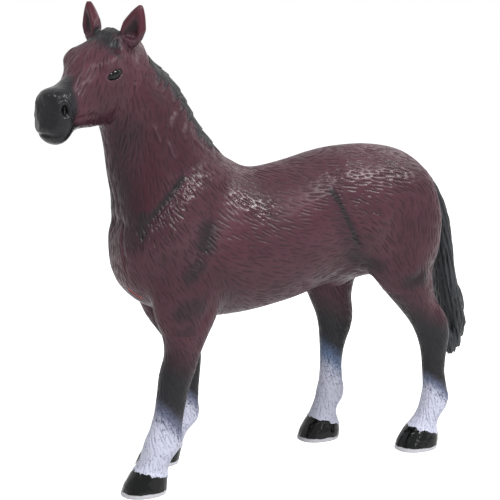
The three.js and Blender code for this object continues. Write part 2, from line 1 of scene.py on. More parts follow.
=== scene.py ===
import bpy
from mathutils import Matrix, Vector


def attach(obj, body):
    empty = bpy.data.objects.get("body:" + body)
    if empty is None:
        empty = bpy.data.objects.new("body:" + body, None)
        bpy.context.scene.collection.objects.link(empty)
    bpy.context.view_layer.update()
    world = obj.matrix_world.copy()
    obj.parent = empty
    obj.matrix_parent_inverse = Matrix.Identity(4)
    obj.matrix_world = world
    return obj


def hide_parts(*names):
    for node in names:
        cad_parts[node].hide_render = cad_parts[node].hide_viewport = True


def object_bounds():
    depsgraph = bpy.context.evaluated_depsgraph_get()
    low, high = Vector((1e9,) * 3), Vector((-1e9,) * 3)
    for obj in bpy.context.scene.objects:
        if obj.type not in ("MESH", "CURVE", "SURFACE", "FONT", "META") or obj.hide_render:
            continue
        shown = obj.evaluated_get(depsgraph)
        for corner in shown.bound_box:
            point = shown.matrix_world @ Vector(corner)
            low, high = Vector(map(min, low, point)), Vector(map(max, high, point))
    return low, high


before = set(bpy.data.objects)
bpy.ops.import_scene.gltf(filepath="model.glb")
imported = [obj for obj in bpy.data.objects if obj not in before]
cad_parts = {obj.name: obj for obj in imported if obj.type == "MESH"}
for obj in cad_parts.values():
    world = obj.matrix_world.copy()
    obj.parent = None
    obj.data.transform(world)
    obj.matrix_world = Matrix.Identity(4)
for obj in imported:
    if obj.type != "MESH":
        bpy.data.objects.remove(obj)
bounds_before = [list(corner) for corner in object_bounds()]

import math

import bmesh
import bpy
import numpy as np
from bpy.props import FloatProperty, FloatVectorProperty, IntProperty, PointerProperty
from mathutils import Matrix, Vector
from mathutils.bvhtree import BVHTree
from mathutils.kdtree import KDTree

bl_info = {
    "name": "Toy Horse Figure",
    "version": (1, 0, 0),
    "blender": (4, 5, 0),
    "location": "3D View > Sidebar > Toy Horse",
    "description": "Carves and paints the mouldings of a toy horse figure",
    "category": "Object",
}

# Lengths in this script are millimetres until a mesh is written, which is in metres.
MM = 0.001

# The photograph was taken with this camera: place, aim, lens and the picture's middle.
CAMERA_PLACE = Vector((378.4, 722.8, 271.9))
CAMERA_AIM = Vector((20.7, 20.8, 133.0))
SENSOR_WIDTH = 36.0
PICTURE_WIDTH = 500.0
PICTURE_FOCUS = 1408.0

# The head is a moulding of its own, turned about the poll.
POLL = Vector((92.4, 0.0, 253.8))
HEAD_TURN = (26.0, 21.0, -4.0)

# Where the glued mouldings meet: heights of the leg joints, and the plane of the neck.
FORE_JOINT_HEIGHT = 89.7
HIND_JOINT_HEIGHT = 100.3
HAUNCH_FRONT = -37.0
NECK_JOINT = Vector((88.0, 0.0, 223.0))
NECK_OUTWARD = Vector((0.803, 0.0, 0.595)).normalized()

# Spots and strokes below are places in the picture, across and down from its top left
# corner, and each lies where the line of sight first meets the figure.

# Which way the carved hair runs: place, then direction across and down.
COAT_FLOW = (
    (120, 140, -0.45, 1), (123, 165, -0.5, 1), (112, 160, 0.12, 1), (131, 190, -0.2, 1),
    (160, 140, 0.2, 1), (165, 90, 0.5, 1), (188, 135, 0.1, 1), (187, 165, 0.5, 1),
    (160, 193, 0.7, 1), (201, 189, 0.8, 1), (210, 182, 1, 0.9), (184, 224, 1, 0.8),
    (182, 241, 1, 0.75), (157, 249, 0.75, 1), (151, 258, 0.6, 1), (236, 197, 0.5, 1),
    (253, 199, 1, 0.75), (262, 201, 1, 0.5), (255, 172, 1, 0.35), (281, 180, 1, 0.25),
    (255, 224, 1, 0.35), (248, 264, 1, 0.15), (267, 239, 1, 0.2), (307, 262, 1, -0.05),
    (271, 288, 1, -0.1), (331, 276, 1, -0.55), (345, 265, 1, -0.5), (320, 211, 1, 0.1),
    (361, 154, 1, 0), (364, 170, 1, 0), (400, 172, 1, 0.3), (379, 187, 1, 0.3),
    (371, 219, 1, 0.4), (378, 240, 1, 0.9), (410, 227, -0.4, 1), (433, 227, -0.05, 1),
    (392, 272, 0.5, 1), (417, 298, 0.6, 1), (175, 313, 0.65, 1), (224, 300, -0.3, 1),
    (170, 160, 0.3, 1), (140, 210, -0.1, 1), (140, 260, 0.1, 1), (200, 290, 0.5, 0.8),
)
HEAD_FLOW = (
    (91, 71, -0.15, 1), (99, 92, -0.3, 1), (122, 103, -0.1, 1), (75, 75, -0.4, 1),
    (105, 60, -0.1, 1), (130, 60, 0.2, 1), (135, 90, 0.1, 1), (110, 118, 0.6, 1),
    (60, 90, -0.4, 1), (60, 120, 0, 1), (85, 105, -0.4, 1), (110, 40, -0.3, 1),
)

# How far down the legs the hair leans to the back, from the sole up: height, lean.
LEG_LEAN = ((0, 0.05), (18, 0.1), (30, 0.35), (45, 0.7), (60, 0.7), (80, 0.6), (105, 0.5))

# Furrows of the body: the way they run, depth, half width.
BODY_FURROWS = (
    (((191, 168), (183, 180), (171, 197), (158, 213), (146, 227), (140, 240), (139, 252)),
     1.3, 2.6),
    (((216, 214), (211, 230), (206, 247), (197, 261), (188, 272)), 0.9, 3.0),
    (((326, 166), (334, 182), (343, 200), (351, 220), (358, 238), (362, 254)), 1.1, 2.2),
    (((362, 254), (352, 265), (338, 274), (322, 283), (306, 291)), 0.8, 3.0),
    (((426, 270), (416, 279), (404, 285)), 0.9, 3.0),
    (((214, 302), (206, 318), (197, 334)), 0.9, 3.0),
    (((418, 205), (414, 220), (405, 238)), 0.35, 1.0),
    (((110, 166), (115, 206), (118, 227), (122, 255), (126, 276)), 0.7, 1.4),
)

# Black airbrush on the body: the way it runs, half width, strength.
BODY_SHADE = (
    (((183, 178), (170, 196), (156, 212), (143, 226)), 1.8, 0.85),
    (((142, 218), (141, 236)), 3.5, 0.8),
    (((208, 230), (206, 246)), 5.0, 0.8),
    (((200, 266), (190, 278)), 3.5, 0.7),
    (((332, 191), (343, 209), (352, 229), (357, 244)), 2.0, 0.85),
    (((340, 220), (350, 245), (354, 258)), 5.0, 0.35),
    (((352, 252), (362, 262), (374, 268)), 5.0, 0.5),
    (((356, 256), (366, 262), (378, 266)), 4.5, 0.65),
    (((410, 283), (425, 278)), 4.0, 0.7),
    (((182, 314), (198, 308)), 5.0, 0.6),
    (((184, 336), (190, 332)), 3.5, 0.5),
    (((124, 140), (119, 170), (124, 205), (131, 240)), 7.0, 0.5),
    (((134, 130), (130, 170), (134, 205)), 6.0, 0.4),
    (((166, 112), (170, 140), (163, 172), (150, 200)), 14.0, 0.14),
)

# Where the strokes are shallow and the paint is matt: the way it runs, half width, strength.
# The first row is the side of the neck, whose brown is a deeper red.
FAINT = (
    (((158, 84), (168, 108), (172, 140), (164, 172), (152, 200)), 13.0, 1.0),
    (((290, 186), (300, 212), (312, 236)), 11.0, 0.4),
)

# Where handling has left the coat glossier: the way it runs, half width, strength.
POLISH = (
    (((190, 184), (180, 204), (166, 224), (154, 244)), 9.0, 1.0),
    (((200, 192), (190, 218), (184, 240), (195, 262)), 8.0, 0.9),
    (((210, 172), (222, 186)), 5.0, 0.7),
    (((238, 200), (252, 208), (266, 210)), 6.5, 1.0),
    (((344, 176), (372, 184), (400, 176)), 8.0, 0.6),
    (((362, 196), (372, 214), (382, 244)), 7.0, 0.9),
    (((338, 196), (350, 226), (357, 244)), 3.0, 0.9),
    (((172, 118), (170, 134), (176, 158)), 4.0, 0.35),
)

# Black airbrush on the head, between the ears and above the eyes.
HEAD_SHADE = (
    (((102, 32), (108, 38), (113, 43)), 5.0, 1.0),
    (((104, 29), (112, 31), (118, 33)), 3.0, 1.0),
    (((113, 52), (119, 55)), 2.4, 0.7),
)

# Places along the crest where one tuft of the mane ends and the next begins.
MANE_STEPS = ((151, 66), (160, 69), (167, 75), (177, 90), (186, 100), (192, 112), (199, 128),
              (209, 142), (219, 151))

# Ends of the tail's locks: where a lock starts and ends, how thick, how far to the left.
TAIL_LOCKS = (
    ((454, 280), (462, 313), 3.2, 2.0),
    ((455, 303), (465.5, 337), 3.6, -2.0),
    ((450, 315), (458, 348), 3.8, 4.0),
    ((445, 325), (450.5, 355), 3.6, 6.0),
)

# Locks that stand off the near side of the neck.
NECK_LOCKS = (
    ((178, 111), (173, 120), (171.8, 131)), ((187, 122), (184.5, 134), (186, 143)),
    ((154, 125), (159, 138), (161.6, 145)), ((168, 140), (172, 153), (178, 161)),
    ((192, 128), (196, 140), (203, 150)),
)
NECK_LOCK_HEIGHT = 0.7
NECK_LOCK_HALF_WIDTH = 1.3

# Rises and dents of the hind legs: middle, size along, across and up, height.
LEG_SWELLINGS = (
    ((433, 274), (8, 14, 10), -2.4),
    ((437, 299), (7, 12, 8), -1.8),
    ((445, 322), (5, 9, 6), 0.7),
    ((430, 250), (7, 12, 8), 0.4),
)

# The throat falls back above the breast: spots on its edge, how far, half height.
CHEST_DENTS = (((113, 204), 1.8, 13.0), ((114, 224), 2.6, 5.5), ((110, 246), 1.2, 12.0))

# Raw plastic shows along the glued seam under the chest.
CHEST_SEAM = ((128, 289), (131, 292), (136, 295.5), (142, 298.5))

# The small fold under the belly: middle, size along, across and up, height.
SHEATH = ((337, 277), (8, 4.5, 7), 3.2)

# Rises of the body: middle, size along, across and up, height.
BODY_SWELLINGS = (
    ((184, 205), (9, 20, 14), 1.2),
    ((172, 248), (10, 20, 12), 1.2),
    ((245, 212), (14, 20, 14), 0.7),
    ((350, 185), (14, 20, 12), 0.9),
    ((378, 228), (11, 20, 12), 1.7),
    ((224, 306), (20, 22, 8), -1.2),
)

# Rises of the head, in the same order of numbers.
HEAD_SWELLINGS = (
    ((108, 65), (5, 4, 3), 0.5),
    ((94, 84), (7, 5, 5), 0.6),
    ((112, 104), (8, 6, 8), 0.7),
    ((57, 108), (3, 3, 4), 0.5),
    ((47, 97), (4, 4, 3), 0.6),
    ((42, 94), (3, 6, 3), 0.6),
    ((38, 127), (3.5, 6, 3), 0.9),
)

# Furrows of the head: the way they run, depth (below 0 for a raised line), half width.
HEAD_FURROWS = (
    (((36, 130), (41, 134), (47, 136.5), (58, 137), (67, 133)), 0.8, 0.9),
    (((75, 120), (81, 118), (91, 115.4), (99, 115)), 0.6, 1.2),
    (((108, 126.5), (117, 122), (125, 117), (131, 109), (133, 101)), 1.3, 1.6),
    (((133, 80), (133.5, 90), (133, 101)), 0.5, 0.9),
    (((108, 74), (112, 70.6), (118, 68.6), (123, 69.5)), 0.5, 0.7),
    (((108.5, 79.5), (114, 81.5), (120, 78.5)), 0.35, 0.7),
    (((88, 47), (80, 56), (71, 66), (65, 76)), -0.5, 1.2),
    (((77, 66), (83, 84), (84, 100)), 0.3, 2.4),
)

# Pits moulded behind the cheek, in the order of numbers of the rises.
HEAD_PITS = (((135.4, 81.6), (0.7, 0.7, 0.7), -0.9), ((134.8, 99.5), (0.7, 0.7, 0.7), -0.9))

# Corners of the near eye and half its height, and the nostril.
EYE_CORNERS = ((108.2, 77.6), (121.6, 71.8))
EYE_HALF_HEIGHT = 2.5
NOSTRIL = (65.6, 110.5)
NOSTRIL_SIZE = (2.1, 3.2)

# Edge of the black muzzle.
MUZZLE_EDGE = ((68, 76), (73, 88), (77, 100), (78, 112), (74, 122), (80, 126))

# Paint of the legs from the sole up: the socks' top and how far it fades each way, the same
# for the black above them, and how blue the sock's fade is.
LEG_PAINT = {
    "foreleg_left": (41, 14, 74, 14, 0.1),
    "foreleg_right": (41, 11, 78, 12, 0.1),
    "hindleg_left": (38, 11, 84, 12, 0.25),
    "hindleg_right": (50, 18, 84, 14, 1.0),
}

# The socks' top edge and the black's are higher at the front than at the back.
SOCK_SLOPE = 0.8
SHADE_SLOPE = 0.5

# Top edge of the hooves: height at the front, height at the back. The worn rim of the sole
# reaches up to SOLE_RIM, and the ledge of hair above the hoof stands out by HOOF_LEDGE.
HOOF_TOP = {"fore": (15.5, 9.5), "hind": (17.0, 8.5)}
SOLE_RIM = 2.4
HOOF_LEDGE = 0.35

# Below this height all of a leg is foot, and at these heights its middle is measured.
FOOT_HEIGHT = 12
LEG_LEVELS = (25, 40, 55, 70, 82)

# The plane between the forelegs and the hindlegs.
LEGS_APART = -20

# Crest of the neck: the way it runs in the middle plane, the stretch of it that is
# searched and in what steps, and the lowest height that counts.
CREST_RUN = (0.8, 0.6)
CREST_STRETCH = (108, 212)
CREST_STEP = 2.5
CREST_LOWEST = 183

# How far the mane falls down the neck, and how high it and its tufts stand.
MANE_FALL = 17.0
MANE_RISE = 0.35
TUFT_RISE = 0.75

# The eyes: rise of the lid and of the ball, and how deep the ball is set.
LID_RISE = 0.35
BALL_RISE = 1.2
EYE_SET = 0.45

# The nostrils: rise of the rim and depth. The ears, cast thin, are raised by EAR_RISE.
NOSTRIL_RIM = 0.4
NOSTRIL_DEPTH = 2.6
EAR_RISE = 0.5

# How far the tail's hair leans to the back: height, lean.
TAIL_LEAN = ((100, 0.12), (150, 0.3), (178, 1.2))

# Strokes: distance between two, length of the longest, half width. The body's first two
# numbers and the first number of the tail's locks are settings.
BODY_STROKE_HALF_WIDTH = 0.82
HEAD_STROKES = (1.9, 10.0, 0.75)
LEG_STROKES = (1.45, 14.0, 0.62)
LOCK_STROKES = (60.0, 1.25)
STRAND_STROKES = (1.4, 30.0, 0.6)

# Depth of the strokes on head and legs as a share of the body's, and on the tail.
HEAD_DEPTH = 0.75
LEG_DEPTH = 0.9
LOCK_DEPTH = 0.8
STRAND_DEPTH = 0.25

# What each step adds to the seed.
SEED_STEPS = {"head": 1, "foreleg": 20, "hindleg": 30, "locks": 40, "strands": 41}

# A stroke is walked in steps of this length, and bends by up to this share to a side.
STROKE_STEP = 0.5
STROKE_BEND = 0.22

# Share of the vertices from which a stroke is tried, how near it may come to another as a
# share of the distance between two, and the fewest steps that make a stroke.
TRIED_SHARE = 0.45
CLOSEST_SHARE = 0.72
FEWEST_STEPS = 5

# Size of the cast's cells, for a full render and for a quick one; only the first is used.
CORE_CELLS = (1.1, 1.8)
HEAD_CELLS = (0.42, 0.8)
LEG_CELLS = (0.45, 0.9)
TAIL_CELLS = (0.5, 0.9)

# A moulding is swelled by this much before it is cast, so that close ones join.
SWELL = 0.2

# A stopper for the hole of the tail's peg: its middle and radius.
STOPPER = (-106.5, 0, 153)
STOPPER_RADIUS = 5.5

# A piece has at most this many triangles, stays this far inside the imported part's box,
# and has a hard edge where two faces meet at more than this angle.
MOST_TRIANGLES = 192000
BOX_MARGIN = 0.02
HARD_EDGE = math.radians(60)

# Lamps: name, place and aim in metres, width and height. Their power is a setting.
LAMPS = (
    ("key", (-0.515, 0.498, 0.918), (0.0, 0.0, 0.15), (0.2, 0.2)),
    ("shoulder", (0.14, 0.79, 0.825), (0.0, 0.0, 0.15), (0.2, 0.2)),
    ("nose", (0.678, 0.302, 0.893), (0.0, 0.0, 0.15), (0.2, 0.2)),
    ("hoof", (0.054, 1.033, 0.332), (0.0, 0.0, 0.15), (0.08, 0.16)),
    ("rim", (-0.9, -0.5, 0.9), (0.0, 0.0, 0.14), (0.6, 0.5)),
)

BLACK = (0, 0, 0, 1)
WHITE = (1, 1, 1, 1)


def colour(code):
    """A paint written as six hexadecimal digits, as the linear colour a shader takes."""
    parts = [int(code[i:i + 2], 16) / 255 for i in (0, 2, 4)]
    linear = [p / 12.92 if p <= 0.04045 else ((p + 0.055) / 1.055) ** 2.4 for p in parts]
    return (*linear, 1.0)


# Fixed paints, among them painted shade for grooves and painted highlights for ridges.
PAINTS = {name: colour(code) for name, code in (
    ("neck", "3A1320"), ("painted groove shade", "1E1216"), ("painted ridge highlight", "7A5E6C"),
    ("muzzle", "1D1D20"), ("ear", "481E28"), ("ear cup", "1F1217"), ("eye", "060607"),
    ("slate", "6E7084"), ("blue", "667A9B"), ("dust", "34384A"), ("painted sock shade", "4C506A"),
    ("sole", "C6C6CC"), ("raw plastic", "962A22"), ("tail patch", "37393C"),
    ("painted tail shade", "111214"), ("painted tail highlight", "4B4E52"),
)}
COAT_SHEEN = 0.2
TAIL_SHEEN = 0.25
EYE_ROUGHNESS = 0.08
HOOF_ROUGHNESS = 0.14

# What the settings of one kind share.
COLOUR = {"subtype": "COLOR", "size": 4, "min": 0, "max": 1}
LENGTH = {"subtype": "DISTANCE", "unit": "LENGTH"}
POWER = {"unit": "POWER", "min": 0, "max": 500}


class FigurePaint(bpy.types.PropertyGroup):
    """Paints of the figure."""
    coat: FloatVectorProperty(
        name="Coat", description="Brown of the coat", default=colour("4D2E38"), **COLOUR)
    # The shading black also serves as painted shade, laid into the hollows by their depth.
    shading: FloatVectorProperty(
        name="Shading", description="Black sprayed into the hollows",
        default=colour("1B1B1E"), **COLOUR)
    sock: FloatVectorProperty(
        name="Socks", description="Pale paint of the lower legs",
        default=colour("C9CBDD"), **COLOUR)
    tail: FloatVectorProperty(
        name="Tail", description="Paint of the tail", default=colour("232427"), **COLOUR)
    hoof: FloatVectorProperty(
        name="Hooves", description="Gloss black of the hooves",
        default=colour("0C0D0E"), **COLOUR)
    gloss: FloatProperty(
        name="Coat roughness", description="Roughness of the coat paint",
        subtype="FACTOR", min=0.1, max=1, default=0.38)


class FigureCarving(bpy.types.PropertyGroup):
    """Sizes of the carving."""
    hair_depth: FloatProperty(
        name="Hair depth", description="Depth of one carved hair stroke",
        min=0, max=0.002, default=0.00055, **LENGTH)
    hair_spacing: FloatProperty(
        name="Hair spacing", description="Distance between strokes on the body",
        min=0.001, max=0.01, default=0.00155, **LENGTH)
    hair_length: FloatProperty(
        name="Hair length", description="Length of the longest stroke",
        min=0.002, max=0.05, default=0.013, **LENGTH)
    lock_spacing: FloatProperty(
        name="Lock spacing", description="Distance between the grooves of the tail",
        min=0.001, max=0.01, default=0.0026, **LENGTH)
    seam_gap: FloatProperty(
        name="Seam gap", description="Opening between two glued mouldings",
        min=0, max=0.001, default=0.00004, **LENGTH)
    seed: IntProperty(
        name="Seed", description="Pattern of the strokes", min=0, default=11)


class FigureStage(bpy.types.PropertyGroup):
    """Floor and lights."""
    key_power: FloatProperty(
        name="Key light", description="Power of the light above the rump", default=6.8,
        **POWER)
    shoulder_power: FloatProperty(
        name="Shoulder light", description="Power of the light beside the shoulder",
        default=4.8, **POWER)
    nose_power: FloatProperty(
        name="Nose light", description="Power of the light before the head", default=3.0,
        **POWER)
    hoof_power: FloatProperty(
        name="Hoof light", description="Power of the small low light", default=0.7, **POWER)
    rim_power: FloatProperty(
        name="Rim light", description="Power of the light behind", default=2.0, **POWER)
    room_light: FloatProperty(
        name="Room light", description="Strength of the white room", min=0, max=2,
        default=0.18)
    floor_glow: FloatProperty(
        name="Floor glow", description="White the camera sees besides the lit floor",
        min=0, max=1, default=0.9)
    floor: FloatVectorProperty(
        name="Floor", description="Colour of the floor", default=(0.8, 0.8, 0.8, 1),
        **COLOUR)


# Working skins

def read_floats(things, name, width):
    """One attribute of many mesh elements as an array."""
    values = np.empty(len(things) * width, np.float32)
    things.foreach_get(name, values)
    return values.reshape(-1, width) if width > 1 else values


class Skin:
    """A mesh in work, with its vertices in millimetres."""

    def __init__(self, mesh):
        self.mesh = mesh
        self.place = read_floats(mesh.vertices, "co", 3).astype(np.float64) / MM
        ends = np.empty(len(mesh.edges) * 2, np.int32)
        mesh.edges.foreach_get("vertices", ends)
        self.first = ends[0::2]
        self.second = ends[1::2]
        count = len(self.place)
        self.degree = (np.bincount(self.first, minlength=count)
                       + np.bincount(self.second, minlength=count)).clip(1)
        self.direction = None

    def average(self, values):
        """Mean of each vertex's neighbours, for one column or several."""
        if values.ndim > 1:
            return np.stack([self.average(column) for column in values.T], 1)
        count = len(values)
        total = np.bincount(self.first, values[self.second], count)
        total += np.bincount(self.second, values[self.first], count)
        return total / self.degree

    def relax(self, weight, rounds):
        """Smooths the skin; weight is how far a vertex gives way in one round."""
        for _ in range(rounds):
            self.place += weight[:, None] * (self.average(self.place) - self.place)

    def write(self):
        """Puts the places back in the mesh."""
        self.mesh.vertices.foreach_set("co", (self.place * MM).astype(np.float32).ravel())
        self.mesh.update()

    def face_out(self, rounds=2):
        """Outward directions, a little evened out."""
        self.write()
        self.direction = read_floats(self.mesh.vertex_normals, "vector", 3).astype(float)
        for _ in range(rounds):
            self.direction = self.direction + self.average(self.direction)
        length = np.linalg.norm(self.direction, axis=1).clip(1e-9)
        self.direction /= length[:, None]

    def push(self, amount):
        """Moves each vertex outwards by its amount, or inwards where it's negative."""
        self.place += self.direction * amount[:, None]

    def tint(self, **fields):
        """Keeps values a vertex for the paint, each under its own name."""
        for name, values in fields.items():
            layer = self.mesh.attributes.new(name, "FLOAT", "POINT")
            layer.data.foreach_set("value", values.astype(np.float32))


def ramp(values, low, high):
    """Smooth rise from 0 at low to 1 at high."""
    share = ((values - low) / (high - low)).clip(0, 1)
    return share * share * (3 - 2 * share)


def near_line(place, line, reach):
    """Distance of each vertex to a line of points and the share along it."""
    line = np.array(line, float)
    lowest, highest = line.min(0) - reach, line.max(0) + reach
    chosen = np.flatnonzero(((place > lowest) & (place < highest)).all(1))
    distance = np.full(len(place), np.inf)
    share = np.zeros(len(place))
    if not len(chosen):
        return distance, share
    near = place[chosen]
    best = np.full(len(chosen), np.inf)
    best_share = np.zeros(len(chosen))
    steps = np.linalg.norm(np.diff(line, axis=0), axis=1)
    total = max(steps.sum(), 1e-9)
    travelled = 0.0
    for start, end, step in zip(line[:-1], line[1:], steps):
        if step > 1e-9:
            along = ((near - start) @ (end - start) / step ** 2).clip(0, 1)
            gap = np.linalg.norm(near - start - along[:, None] * (end - start), axis=1)
            closer = gap < best
            best[closer] = gap[closer]
            best_share[closer] = (travelled + along[closer] * step) / total
            travelled += step
    distance[chosen] = best
    share[chosen] = best_share
    return distance, share


def furrow(skin, line, depth, half_width, ends=0.25):
    """A soft furrow along a line, shallower towards its ends."""
    distance, share = near_line(skin.place, line, half_width * 3)
    fade = ramp(share, -0.05, ends) * ramp(1 - share, -0.05, ends)
    skin.push(-depth * fade * np.exp(-(distance / half_width) ** 2))


def swelling(skin, centre, size, height):
    """A rounded rise about a point, with a size each way."""
    offset = (skin.place - np.array(centre)) / np.array(size)
    skin.push(height * np.exp(-(offset ** 2).sum(1)))


def draw_furrows(skin, rows, both):
    """Furrows under lines of the picture; both gives a line and its mirror image."""
    for spots, depth, half_width in rows:
        for line in both(spots):
            furrow(skin, line, depth, half_width)


def raise_spots(skin, rows, both):
    """Rises, or dents where the height is below 0, under spots of the picture."""
    for spot, size, height in rows:
        for line in both((spot, spot)):
            swelling(skin, line[0], size, height)


def spray(skin, rows, both):
    """How much black lands on each vertex from strokes of the airbrush."""
    shade = np.zeros(len(skin.place))
    for spots, half_width, strength in rows:
        for line in both(spots):
            distance, _ = near_line(skin.place, line, half_width * 2.2)
            shade = np.maximum(shade, strength * (1 - ramp(
                distance, half_width * 0.35, half_width * 1.8)))
    return shade


def search_tree(places):
    """A tree that finds the nearest of these places."""
    tree = KDTree(len(places))
    for i, place in enumerate(places.tolist()):
        tree.insert(place, i)
    tree.balance()
    return tree


# The figure as the camera sees it

def head_to_world():
    """Head frame: along the nose, to the left and up, from the poll."""
    turn, droop, tilt = (math.radians(angle) for angle in HEAD_TURN)
    return (Matrix.Translation(POLL) @ Matrix.Rotation(turn, 4, "Z")
            @ Matrix.Rotation(droop, 4, "Y") @ Matrix.Rotation(tilt, 4, "X"))


def sight(across, down):
    """Direction from the camera through a place in the picture."""
    back = (CAMERA_PLACE - CAMERA_AIM).normalized()
    right = Vector((0, 0, 1)).cross(back).normalized()
    up = back.cross(right)
    middle = PICTURE_WIDTH / 2
    direction = right * (across - middle) - up * (down - middle) - back * PICTURE_FOCUS
    return direction.normalized()


def beyond_neck(place):
    """How far each place lies beyond the neck's joint, on the head's side of it."""
    return (place - np.array(NECK_JOINT)) @ np.array(NECK_OUTWARD)


def welded(name):
    """A copy of one moulding with its loose triangles joined, in millimetres."""
    copy = bmesh.new()
    copy.from_mesh(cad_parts[name].data)
    bmesh.ops.scale(copy, vec=(1 / MM,) * 3, verts=copy.verts)
    bmesh.ops.remove_doubles(copy, verts=copy.verts, dist=0.001)
    copy.normal_update()
    return copy


def add_part(whole, part):
    """Adds one working mesh to another, and frees it."""
    mesh = bpy.data.meshes.new("part")
    part.to_mesh(mesh)
    part.free()
    whole.from_mesh(mesh)
    bpy.data.meshes.remove(mesh)


class Sighting:
    """Finds the place on the figure that a spot of the picture shows."""

    def __init__(self):
        whole = bmesh.new()
        for name in sorted(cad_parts):
            add_part(whole, welded(name))
        self.tree = BVHTree.FromBMesh(whole)
        whole.free()
        self.head = head_to_world()

    def spot(self, across, down):
        """Place and outward direction under one spot."""
        place, outward, _, _ = self.tree.ray_cast(CAMERA_PLACE, sight(across, down))
        return place, outward

    def on_plane(self, across, down, side):
        """Place under one spot on the upright plane that far to the left."""
        ray = sight(across, down)
        return CAMERA_PLACE + ray * ((side - CAMERA_PLACE.y) / ray.y)

    def line(self, spots):
        """Places under a stroke, one about every three picture dots."""
        found = []
        for (x0, y0), (x1, y1) in zip(spots[:-1], spots[1:]):
            count = max(2, int(math.hypot(x1 - x0, y1 - y0) / 3))
            for i in range(count):
                share = i / count
                place, _ = self.spot(x0 + (x1 - x0) * share, y0 + (y1 - y0) * share)
                if place is not None:
                    found.append(tuple(place))
        place, _ = self.spot(*spots[-1])
        if place is not None:
            found.append(tuple(place))
        return found

    def both_sides(self, spots):
        """The stroke on the near side and its mirror image on the far side."""
        near = self.line(spots)
        return near, [(x, -y, z) for x, y, z in near]

    def both_cheeks(self, spots):
        """The same for the head, whose middle plane is turned."""
        near = self.line(spots)
        back = self.head.inverted()
        far = []
        for place in near:
            along, side, up = back @ Vector(place)
            far.append(tuple(self.head @ Vector((along, -side, up))))
        return near, far

    def flow(self, rows, on_head=False):
        """Control places and directions of the hair, both sides."""
        places, directions = [], []
        back = self.head.inverted()
        for across, down, right, below in rows:
            place, outward = self.spot(across, down)
            if place is None:
                continue
            ray = sight(across + right * 2, down + below * 2)
            reach = (place - CAMERA_PLACE).dot(outward) / ray.dot(outward)
            run = (CAMERA_PLACE + ray * reach - place).normalized()
            places.append(tuple(place))
            directions.append(tuple(run))
            if on_head:
                a, b = back @ place, back.to_3x3() @ run
                places.append(tuple(self.head @ Vector((a.x, -a.y, a.z))))
                directions.append(tuple(self.head.to_3x3() @ Vector((b.x, -b.y, b.z))))
            else:
                places.append((place.x, -place.y, place.z))
                directions.append((run.x, -run.y, run.z))
        return np.array(places), np.array(directions)


# Casting: one closed skin around the joined mouldings

def modified(mesh, kind, **settings):
    """What one modifier makes of a mesh, which is removed."""
    holder = bpy.data.objects.new("work", mesh)
    bpy.context.scene.collection.objects.link(holder)
    modifier = holder.modifiers.new("work", kind)
    for name, value in settings.items():
        setattr(modifier, name, value)
    bpy.context.view_layer.update()
    view = bpy.context.evaluated_depsgraph_get()
    result = bpy.data.meshes.new_from_object(holder.evaluated_get(view))
    bpy.data.objects.remove(holder)
    bpy.data.meshes.remove(mesh)
    return result


def outermost(skin):
    """True for the vertices of the part that reaches furthest ahead."""
    label = np.arange(len(skin.place))
    while True:
        low = np.minimum(label[skin.first], label[skin.second])
        merged = label.copy()
        np.minimum.at(merged, skin.first, low)
        np.minimum.at(merged, skin.second, low)
        merged = merged[merged]
        merged = merged[merged]
        if (merged == label).all():
            return label == label[skin.place[:, 0].argmax()]
        label = merged


def cast_skin(names, cells, swell=SWELL, keep=None, core=None, extra=None):
    """The outer skin of these mouldings as one mesh, cut down to what keep allows.

    cells is the size of the cells for a full render and for a quick one, of which only the
    first is used; core is a closed mesh in metres that is cast with them, and extra adds
    shapes.
    """
    block = bmesh.new()
    if core is not None:
        block.from_mesh(core)
        bmesh.ops.scale(block, vec=(1 / MM,) * 3, verts=block.verts)
    if extra is not None:
        extra(block)
    for name in names:
        part = welded(name)
        for vertex in part.verts:
            vertex.co += vertex.normal * swell
        add_part(block, part)
    if "body_shell_left" in names:
        # The tail's peg hole would let the skin run inside.
        bmesh.ops.create_icosphere(block, subdivisions=2, radius=STOPPER_RADIUS,
                                   matrix=Matrix.Translation(STOPPER))
    bmesh.ops.scale(block, vec=(MM,) * 3, verts=block.verts)
    mesh = bpy.data.meshes.new("block")
    block.to_mesh(mesh)
    block.free()
    cell = cells[0]
    result = modified(mesh, "REMESH", mode="VOXEL", voxel_size=cell * MM)
    skin = Skin(result)
    outer = outermost(skin)
    if keep is not None:
        outer &= keep(skin.place)
    trimmed = bmesh.new()
    trimmed.from_mesh(result)
    trimmed.verts.ensure_lookup_table()
    spare = [trimmed.verts[i] for i in np.flatnonzero(~outer)]
    bmesh.ops.delete(trimmed, geom=spare, context="VERTS")
    loose = [v for v in trimmed.verts if not v.link_faces]
    bmesh.ops.delete(trimmed, geom=loose, context="VERTS")
    trimmed.to_mesh(result)
    trimmed.free()
    return Skin(result)


# Carving

